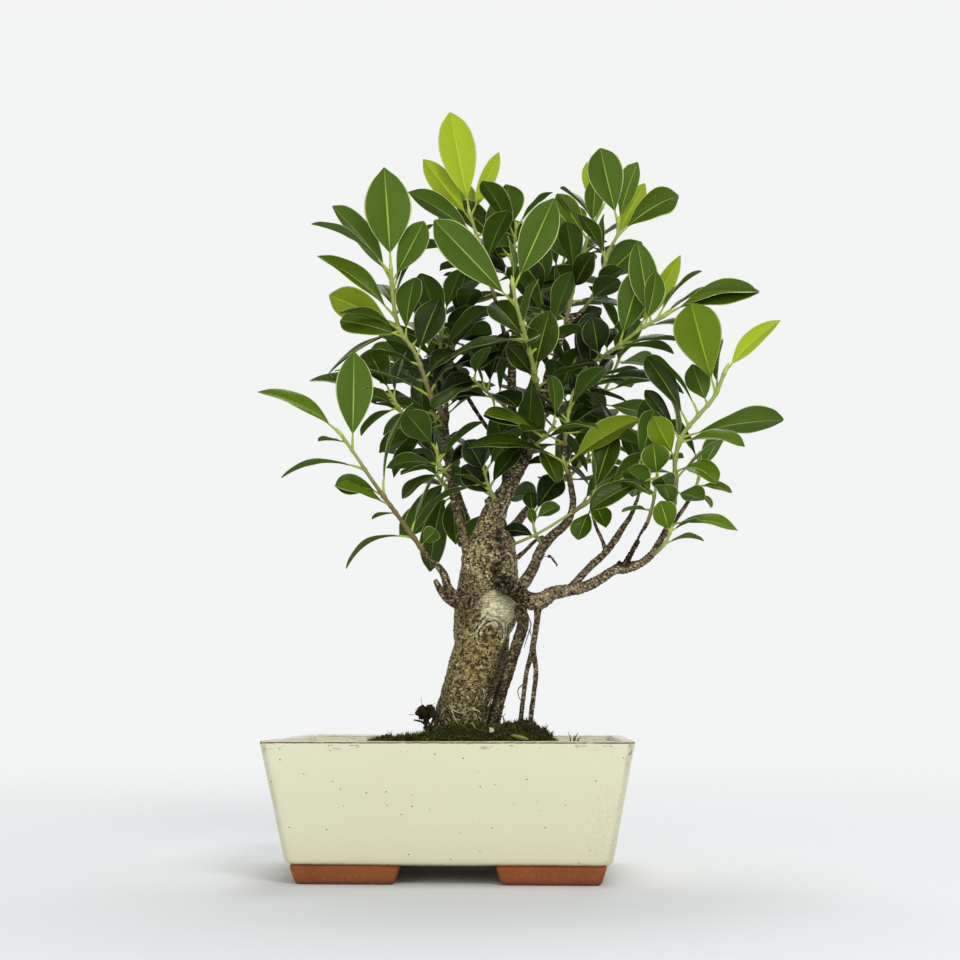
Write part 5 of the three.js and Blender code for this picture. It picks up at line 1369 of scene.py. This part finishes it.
def placed_leaves(shoot):
    """The chosen leaves of a shoot, each with its foot on the stem."""
    path = stem_path(shoot)[0]
    depths = (path[:, 1] - MIDDLE[1]) / MM
    leaves = []
    for owner, foot, tip, behind, width, tilt, arch, tone in PLACED:
        if owner != shoot:
            continue
        gaps = [np.linalg.norm(seen(*foot, depth) - spot) for depth, spot in zip(depths, path)]
        nearest = int(np.argmin(gaps))
        root = path[nearest]
        reach = seen(*tip, depths[nearest] + behind) - root
        rise = UP * 4 * arch * np.linalg.norm(reach)
        spots = [root + reach * k + rise * k * (1 - k) for k in STATIONS]
        tilt = math.radians(tilt)
        up = np.array([0, -math.cos(tilt), math.sin(tilt)])
        leaves.append(leaf_record(root, spots, up, width * MM, tone=tone))
    return leaves


ACROSS = np.array([-1, -0.97, -0.86, -0.62, -0.33, -0.09, 0, 0.09, 0.33, 0.62, 0.86, 0.97, 1])
ROUND = np.concatenate([ACROSS, ACROSS[-2:0:-1]])  # once round a leaf's section
STALK_RINGS = 6
BLADE_RINGS = 32


def leaf_outline(along, foot, end):
    """A leaf's half width along its blade, at most 1: fuller where foot and end are smaller."""
    along = np.clip(along, 0, 1)
    peak = foot / (foot + end)
    lens = (along / peak) ** foot * ((1 - along) / (1 - peak)) ** end
    return lens * (1 - 0.25 * smoothed(along, 0.88, 1))


def crown_shade_tone(leaf, chance):
    """Painted shade: 0 for leaves deep in the crown, painted dark as if shaded, to 1 for the lit green
    ones outside it, moved a little by chance.
    """
    inward = np.linalg.norm((leaf_middle(leaf) - CROWN) / (np.array(CROWN_SIZE) * MM))
    return np.clip(smoothed(inward, 0.45, 1.02) * 0.85 + 0.3 * (chance - 0.45), 0, 1)


def freshness(shoot, leaf):
    """1 for a young leaf at its shoot's end, less for those further down the shoot."""
    if np.linalg.norm(leaf_middle(leaf) - RIPEST) < RIPEST_REACH:
        return RIPEST_TONE
    path = stem_path(shoot)[0]
    share = np.argmin(np.linalg.norm(path - leaf["root"], axis=1)) / (len(path) - 1)
    return share**2 * LIME_SHARES.get(shoot, 1)


def add_leaf(shape, leaf, chance):
    """A leaf with its stalk, as one thin closed skin. chance is four numbers from 0 to 1."""
    stalk = np.linspace(0, PETIOLE - 0.02, STALK_RINGS)
    blade = PETIOLE + (1 - PETIOLE) * np.linspace(0, 0.985, BLADE_RINGS) ** 1.05
    shares = np.concatenate([stalk, blade])
    knots = [0.0, *STATIONS[::-1]]
    centres = np.zeros((len(shares), 3))
    for own, spot in zip(knots, [leaf["root"], *leaf["spots"][::-1]]):
        weight = np.prod([(shares - k) / (own - k) for k in knots if k != own], axis=0)
        centres += weight[:, None] * spot
    forward = unit_rows(np.gradient(centres, axis=0))
    up = unit_rows(leaf["up"] - forward * (forward @ leaf["up"])[:, None])
    side = np.cross(forward, up)

    along = (shares - PETIOLE) / (1 - PETIOLE)
    outline = leaf_outline(along, 0.98 + 0.4 * chance[1], 0.66 + 0.3 * chance[2] ** 2)
    half = (leaf["width"] / 2 * 1.05 * outline)[:, None]
    blade = smoothed(along, -0.04, 0.06)[:, None]
    fold = FOLD * (0.6 + 0.9 * chance[0])
    across = ROUND[None, :]
    upper = np.where(np.arange(len(ROUND)) < len(ACROSS), 1.0, -1.0)[None, :]
    upper = upper * np.where(np.abs(across) == 1, 0, 1)
    angle = math.pi - np.arange(len(ROUND)) * 2 * math.pi / len(ROUND)
    stalk = (1.15 - 0.35 * smoothed(shares, 0, 0.1) - 0.1 * smoothed(along, 0, 1))[:, None] * MM
    wave = 0.07 * np.sin(along * (7 + 5 * chance[1]) + 6 * chance[2])[:, None]
    camber = 0.07 * np.sin(np.abs(across) * math.pi)
    lift = half * (np.abs(across) * math.sin(fold) + camber + wave * across**2 * np.sign(across))
    body = 0.17 * MM * (1 - across**4) + 0.05 * MM
    rib = np.exp(-((across * half / (0.62 * MM)) ** 2)) * (1 - 0.75 * along[:, None])
    ridge = np.where(upper < 0, 0.55 * rib, -0.16 * rib) * MM
    thick = upper * body + np.where(upper < 0, -ridge, ridge)
    x = (1 - blade) * stalk * np.cos(angle) + blade * across * half * math.cos(fold)
    y = (1 - blade) * stalk * np.sin(angle) + blade * (lift + thick)
    points = centres[:, None] + side[:, None] * x[..., None] + up[:, None] * y[..., None]

    place = np.stack(np.broadcast_arrays(across, along[:, None], upper * 0.5 + 0.5), axis=-1)
    place = np.vstack([place.reshape(-1, 3), [0, -0.2, 0], [0, 1, 0.5]])
    ends = [centres[0] - forward[0] * 0.3 * MM, leaf["spots"][0]]
    tone = crown_shade_tone(leaf, chance[3]) if leaf["tone"] is None else leaf["tone"]
    shape.add(
        np.vstack([points.reshape(-1, 3), ends]),
        *closed_faces(*x.shape, flip=True),
        leaf_place=place,
        leaf_kind=[tone, 0, 0],
    )


def add_stem(shape, shoot, leaves):
    """A shoot's stem, swollen where each leaf stands, with its pointed end bud."""
    path, far = stem_path(shoot)
    thick, thin = STEMS[shoot][1]
    share = far / far[-1]
    radii = (thick + (thin - thick) * share) * STEM_SLIMMING * MM
    for leaf in leaves:
        gap = np.linalg.norm(path - leaf["root"], axis=1)
        radii = radii * (1 + 0.28 * bump(gap, 1.6))
    ahead = path[-1] - path[-3]
    ahead /= np.linalg.norm(ahead)
    bud = np.linspace(0, 1, 9)[1:]
    path = np.vstack([path, path[-1] + ahead * (bud * 6 * thin * MM)[:, None]])
    swell = (1 + 0.25 * np.sin(bud * math.pi)) * (1 - bud**1.5) + 0.04
    radii = np.append(radii, thin * MM * swell)
    age = np.append(1 - share + WOODY_SHOOTS.get(shoot, 0), np.zeros(len(bud)))
    marks = np.column_stack([age, np.zeros(len(age)), np.append(share * 0, np.ones(len(bud)))])
    add_tube(shape, path, radii, 12, end=0.2, stem=marks)


def make_shoots():
    looks = {
        "leaf": leaf_material(
            "fig_leaf", (10, 23, 7), (84, 111, 8), (54, 78, 20), (76, 103, 24), (158, 180, 76)
        ),
        "young_leaf": leaf_material(
            "young_fig_leaf", (66, 94, 9), (152, 174, 6), (88, 114, 9), (158, 178, 36), (186, 202, 70)
        ),
    }
    green = stem_material("green_stem")
    for shoot in STEMS:
        name = shoot + "_shoot"
        leaves = read_leaves(name) + hidden_leaves(shoot) + placed_leaves(shoot)
        for leaf in leaves:
            if leaf["young"]:
                leaf["tone"] = freshness(shoot, leaf)
        for slot in looks:
            young = slot == "young_leaf"
            members = [leaf for leaf in leaves if leaf["young"] == young]
            if not members:
                continue
            shape = Shape()
            for leaf in members:
                add_leaf(shape, leaf, RANDOM.random(4))
            if young:
                place_object(name + "_young", shape, looks[slot], slot)
            else:
                place_object(name, shape, looks[slot], slot, name)
        stem = Shape()
        add_stem(stem, shoot, leaves)
        place_object(name + "_stem", stem, green, "green_stem")


# ---------------------------------------------------------------- ground

# Cushions of moss: the pixel column over their middle, depth, half sizes in millimetres, how green
# they are, and how far their right end has slumped.
MOSS = {
    "moss_front": (476, -22, (46, 26, 15), 0.85, 0),
    "moss_right": (529, -10, (20, 23, 18), 0.5, 0.5),
    "moss_left": (405, -8, (26, 22, 8), 0.45, 0),
}
MOSS_FOOT = 86.3  # height of the cushions' widest level
MOSS_BASE = 84.5  # and of their undersides
MOSS_ROW = 740
STRANDS = 105  # on a cushion, for each millimetre of its half length
CRUMBS = 2.2  # on a cushion, for each of those millimetres
STRAND_POINTS = 7
# Least and greatest length, then width, of the strands on the moss and on the tuft, in millimetres.
MOSS_STRANDS = (0.9, 3.3), (0.16, 0.34)
TUFT_STRANDS = (0.8, 2.2), (0.16, 0.36)
# The dry tuft's stems as (pixel x, pixel y, depth), then the crumbs on them with their radii.
TUFT_STEMS = [
    [(432, 744, -12), (430, 726, -12), (425, 716, -12), (419, 709, -13)],
    [(430, 728, -12), (434, 716, -14), (433, 707, -15)],
    [(430, 730, -12), (422, 722, -10), (414, 720, -9)],
    [(436, 738, -13), (437, 724, -15), (435, 712, -17)],
]
TUFT_CRUMBS = [
    (424, 711, -12, 3.6), (430, 709, -14, 3.2), (419, 712, -12, 2.6), (427, 715, -11, 3.1),
    (433, 713, -15, 2.6), (422, 716, -10, 2.2), (426, 722, -11, 1.9), (429, 730, -12, 3.4),
    (435, 729, -14, 2.6),
]
TUFT_HAIRS = [
    [(420, 714, -12), (414, 714.5, -14), (409, 714.6, -16)],
    [(423, 709, -12), (421.5, 703, -12), (421, 697, -13)],
    [(432, 708, -14), (434, 704, -15), (435.5, 703, -15)],
]
GRASS = [
    [(571, 744, -60), (570, 737, -60), (568, 732, -61)],
    [(573, 744, -60), (574, 738, -61), (574.5, 735, -62)],
    [(574, 744, -60), (576, 736, -60), (578.5, 732.5, -60)],
    [(576, 744, -61), (579, 738.5, -62), (582, 738, -64)],
    [(549, 738, -34), (551, 733, -35), (553, 731, -36)],
    [(501, 728, -20), (504, 722, -22), (503, 717, -23), (506, 713, -24)],
]
PEBBLE = (492, 733, -36, (3.6, 3, 2.6))
SLIVER = [(511, 735, -48), (519, 737, -49), (528.5, 739.5, -50)]
SOIL_FOOT = 22.5
SOIL_EDGE = 85.2
MOUND = 3.5  # how much higher the soil's middle is than its edge, in millimetres
MOUND_REACH = 62
SOIL_INWARDS = 9.4  # from the pot's outer face to the soil, in millimetres
GRAINS = 1500
GRAIN_RADIUS, GRAIN_SPREAD = 0.7, 1.5  # the smallest grain's, and how much more the largest has


def unit_ball(level):
    """Points and triangles of a ball one unit in radius."""
    work = bmesh.new()
    bmesh.ops.create_icosphere(work, subdivisions=level, radius=1)
    points = np.array([v.co[:] for v in work.verts])
    triangles = np.array([[v.index for v in face.verts] for face in work.faces])
    work.free()
    return points, triangles


BALLS = {level: unit_ball(level) for level in (1, 2, 3, 6)}


def add_lump(shape, centre, radii, level, seed, roughness=0.3, **marks):
    """A rough crumb or stone, with its centre in metres and its radii in millimetres."""
    ball, triangles = BALLS[level]
    shift = Vector((seed * 1.7, seed * 0.9, seed * 2.3))
    swell = np.array([noise.noise(Vector(p) * 1.3 + shift) for p in ball])
    fine = np.array([noise.noise(Vector(p) * 3.9 + shift) for p in ball])
    points = ball * (1 + roughness * (swell + 0.4 * fine))[:, None] * np.array(radii) * MM
    turn = Matrix.Rotation(seed * 2.4, 3, "Z") @ Matrix.Rotation(seed * 0.7, 3, "X")
    shape.add(centre + points @ np.array(turn), triangles=triangles, **marks)


def add_strands(shape, feet, ahead, lengths, widths, mark, tones):
    """Many small pointed strands, bent a little on their way up."""
    count = len(feet)
    ahead = unit_rows(ahead)
    across = unit_rows(np.cross(ahead, RANDOM.normal(size=(count, 3))))
    other = np.cross(ahead, across)
    bend = across * (RANDOM.normal(0, 0.22, count) * lengths)[:, None]
    levels = []
    for share, size in ((0, 1), (0.5, 0.8)):
        middle = feet + ahead * (share * lengths)[:, None] + bend * share**2
        for k in range(3):
            turn = k * 2 * math.pi / 3
            out = across * math.cos(turn) + other * math.sin(turn)
            levels.append(middle + out * (widths * size)[:, None])
    levels.append(feet + ahead * lengths[:, None] + bend)
    points = np.stack(levels, axis=1).reshape(-1, 3)
    first = np.arange(count)[:, None] * STRAND_POINTS
    quads = np.vstack([first + [k, (k + 1) % 3, (k + 1) % 3 + 3, k + 3] for k in range(3)])
    ends = [first + [k + 3, (k + 1) % 3 + 3, 6] for k in range(3)] + [first + [2, 1, 0]]
    values = np.repeat(tones, STRAND_POINTS, axis=0)
    values[:, 1] = np.tile([0, 0, 0, 0.5, 0.5, 0.5, 1], count)
    shape.add(points, quads, np.vstack(ends), **{mark: values})


def soil_height(x, y):
    """The soil's surface in millimetres, higher towards the pot's middle."""
    return SOIL_EDGE + MOUND * np.exp(-((np.hypot(x, y) / MOUND_REACH) ** 2))


def make_soil():
    """The soil's body with an uneven crust, and the loose grains that lie on it."""
    outline = pot_ring(82, SOIL_INWARDS, 6)[:, :2]
    sides = len(outline)
    rings = [np.column_stack([outline * 0.86, np.full(sides, SOIL_FOOT)])]
    for z in (23, 45, 70):
        rings.append(np.column_stack([pot_ring(z, SOIL_INWARDS, 6)[:, :2], np.full(sides, z)]))
    for share in 1 - np.linspace(0, 1, 56)[:-1] ** 0.9:
        x, y = (outline * share).T
        rings.append(np.column_stack([x, y, soil_height(x, y)]))
    points = np.vstack([*rings, [[0, 0, SOIL_FOOT]], [[0, 0, soil_height(0, 0)]]])
    shape = Shape()
    shape.add(MIDDLE + points * MM, *closed_faces(len(rings), sides), crumb=[0.3, 0, 0])
    mesh = shape.mesh("soil")
    points = vectors_of(mesh, "co")
    lift = 0.9 * rough(points, 14) + 0.7 * rough(points, 4, 1) + 0.4 * rough(points, 1.8, 2)
    lift = np.where(points[:, 2] > 80 * MM, lift, 0)
    points[:, 2] += lift * MM
    set_points(mesh, points)
    material = soil_material()
    place_object("soil", mesh, material, "soil", "soil")

    grains = Shape()
    half_x, half_y = outline.max(axis=0) - 1.5
    for i in range(GRAINS):
        x, y = RANDOM.uniform(-half_x, half_x), RANDOM.uniform(-half_y, half_y)
        size = GRAIN_RADIUS + GRAIN_SPREAD * RANDOM.random() ** 2.5
        radii = size * RANDOM.uniform(0.7, 1.25, 3)
        z = soil_height(x, y) + 0.35 * size
        tone = [RANDOM.random(), RANDOM.random(), 1]
        add_lump(grains, from_pot(x, y, z), radii, 1, i * 0.37, 0.35, crumb=tone)
    place_object("soil_grains", grains, material, "soil")


def make_moss():
    """Each cushion: an uneven dark body, many short strands on it, and small crumbs among them."""
    for number, (name, (column, depth, half, green, slump)) in enumerate(MOSS.items()):
        material = moss_material(name, green)
        x, y, _ = (seen(column, MOSS_ROW, depth) - MIDDLE) / MM
        centre = from_pot(x, y, MOSS_FOOT)
        half = np.array(half)
        shape = Shape()
        ball, triangles = BALLS[6]
        body = ball * half
        body[:, 2] *= np.where(body[:, 2] < 0, 0.12, 1 - slump * np.clip(ball[:, 0], 0, 1))
        body = centre + body * MM
        lumps = 2.9 * rough(body, 13, number) + 3.2 * rough(body, 5, number + 3)
        lumps += 1.5 * rough(body, 2.2, number + 5)
        upward = np.clip(ball[:, 2] * 3, 0, 1)
        out = unit_rows(ball / half)
        body += out * (upward * (lumps - 0.8))[:, None] * MM
        body[:, 2] = np.maximum(body[:, 2], MOSS_BASE * MM)
        shape.add(body, triangles=triangles, moss=[0.2, 0, 0])

        chosen = RANDOM.choice(np.flatnonzero(ball[:, 2] > -0.02), int(STRANDS * half[0]), replace=True)
        feet = body[chosen] + RANDOM.normal(0, 0.3 * MM, (len(chosen), 3))
        ahead = out[chosen] + [0, 0, 0.5] + RANDOM.normal(0, 0.45, feet.shape)
        lengths = RANDOM.uniform(*MOSS_STRANDS[0], len(chosen)) * MM
        lengths *= np.clip(0.9 + 1.5 * rough(feet, 4.5, number + 7), 0.3, 1.9)
        widths = RANDOM.uniform(*MOSS_STRANDS[1], len(chosen)) * MM
        tones = np.column_stack([RANDOM.random((len(chosen), 2)), np.ones(len(chosen))])
        add_strands(shape, feet - out[chosen] * 0.3 * MM, ahead, lengths, widths, "moss", tones)
        for i in range(int(half[0] * CRUMBS)):
            spot = body[RANDOM.choice(chosen)]
            size = RANDOM.uniform(0.7, 1.7)
            radii = size * RANDOM.uniform(0.7, 1.3, 3)
            add_lump(shape, spot, radii, 1, i * 0.71, 0.4, moss=[RANDOM.random(), 0.2, 0.5])
        place_object(name, shape, material, "moss", name)


def make_tuft():
    """A dry, crumbly tuft left of the trunk, with a few fine hairs."""
    shape = Shape()
    for stops in TUFT_STEMS:
        path, far = seen_path(stops, 0.8)
        radii = np.interp(far / far[-1], [0, 1], [1.1, 0.55]) * MM
        radii = radii * (1 + 0.25 * rough(path, 1.5, 4))
        add_tube(shape, path, radii, 8, moss=[0.5, 0.3, 0])
    for stops in TUFT_HAIRS:
        path = seen_path(stops, 0.5)[0]
        add_tube(shape, path, np.full(len(path), 0.16 * MM), 6, moss=[1, 1, 0])
    for i, (px, py, depth, radius) in enumerate(TUFT_CRUMBS):
        centre = seen(px, py, depth)
        add_lump(shape, centre, np.full(3, radius), 3, i * 1.3, 0.7, moss=[0.2, 0.2, 1])
        feet = BALLS[2][0]
        count = len(feet)
        lengths = RANDOM.uniform(*TUFT_STRANDS[0], count) * MM
        tones = np.column_stack([RANDOM.random((count, 2)), np.ones(count)])
        widths = RANDOM.uniform(*TUFT_STRANDS[1], count) * MM
        ahead = feet + RANDOM.normal(0, 0.4, feet.shape)
        add_strands(shape, centre + feet * radius * 0.8 * MM, ahead, lengths, widths, "moss", tones)
    place_object("dry_tuft", shape, moss_material("dry_tuft", 0.25), "dry_tuft", "dry_tuft")


def make_litter():
    """A white pebble, a fallen sliver of leaf, and a few blades of grass."""
    px, py, depth, half = PEBBLE
    shape = Shape()
    add_lump(shape, seen(px, py, depth), half, 3, 2.2, 0.3, grit=np.zeros(3))
    place_object("grit_stone", shape, grit_material(), "grit", "grit_stone")

    shape = Shape()
    path, far = seen_path(SLIVER, 0.5)
    share = far / far[-1]
    width = 1.3 * MM * np.sin(np.clip(share * 0.94 + 0.03, 0, 1) * math.pi) ** 0.7
    sides = 14
    turns = np.arange(sides) * 2 * math.pi / sides
    flat = np.sqrt(np.cos(turns) ** 2 + (0.3 * np.sin(turns)) ** 2)
    add_tube(shape, path, width[:, None] * flat + 0.1 * MM, sides, stem=[0.6, 0, 0])
    place_object("fallen_sliver", shape, stem_material("fallen_sliver"), "green_stem")

    shape = Shape()
    for stops in GRASS:
        path, far = seen_path(stops, 0.4)
        share = far / far[-1]
        radii = (0.5 * (1 - share) ** 0.6 + 0.06) * MM
        marks = np.column_stack([0.35 + 0 * share, share, 0.8 + 0 * share])
        add_tube(shape, path, radii, 6, moss=marks)
    place_object("grass_blades", shape, moss_material("grass", 1.0), "moss")


def dress_nodes():
    """Gives the frame's screens and clips their own finish."""
    looks = {"drain_screen": plastic_material(), "screen_clip": wire_material()}
    for kind, material in looks.items():
        for side in ("left", "right"):
            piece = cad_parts[f"{kind}_{side}"]
            for slot in piece.material_slots:
                slot.material = material


# ---------------------------------------------------------------- shared run

make_camera()
make_studio()
make_pot()
make_feet()
make_wood()
make_shoots()
make_soil()
make_moss()
make_tuft()
make_litter()
dress_nodes()
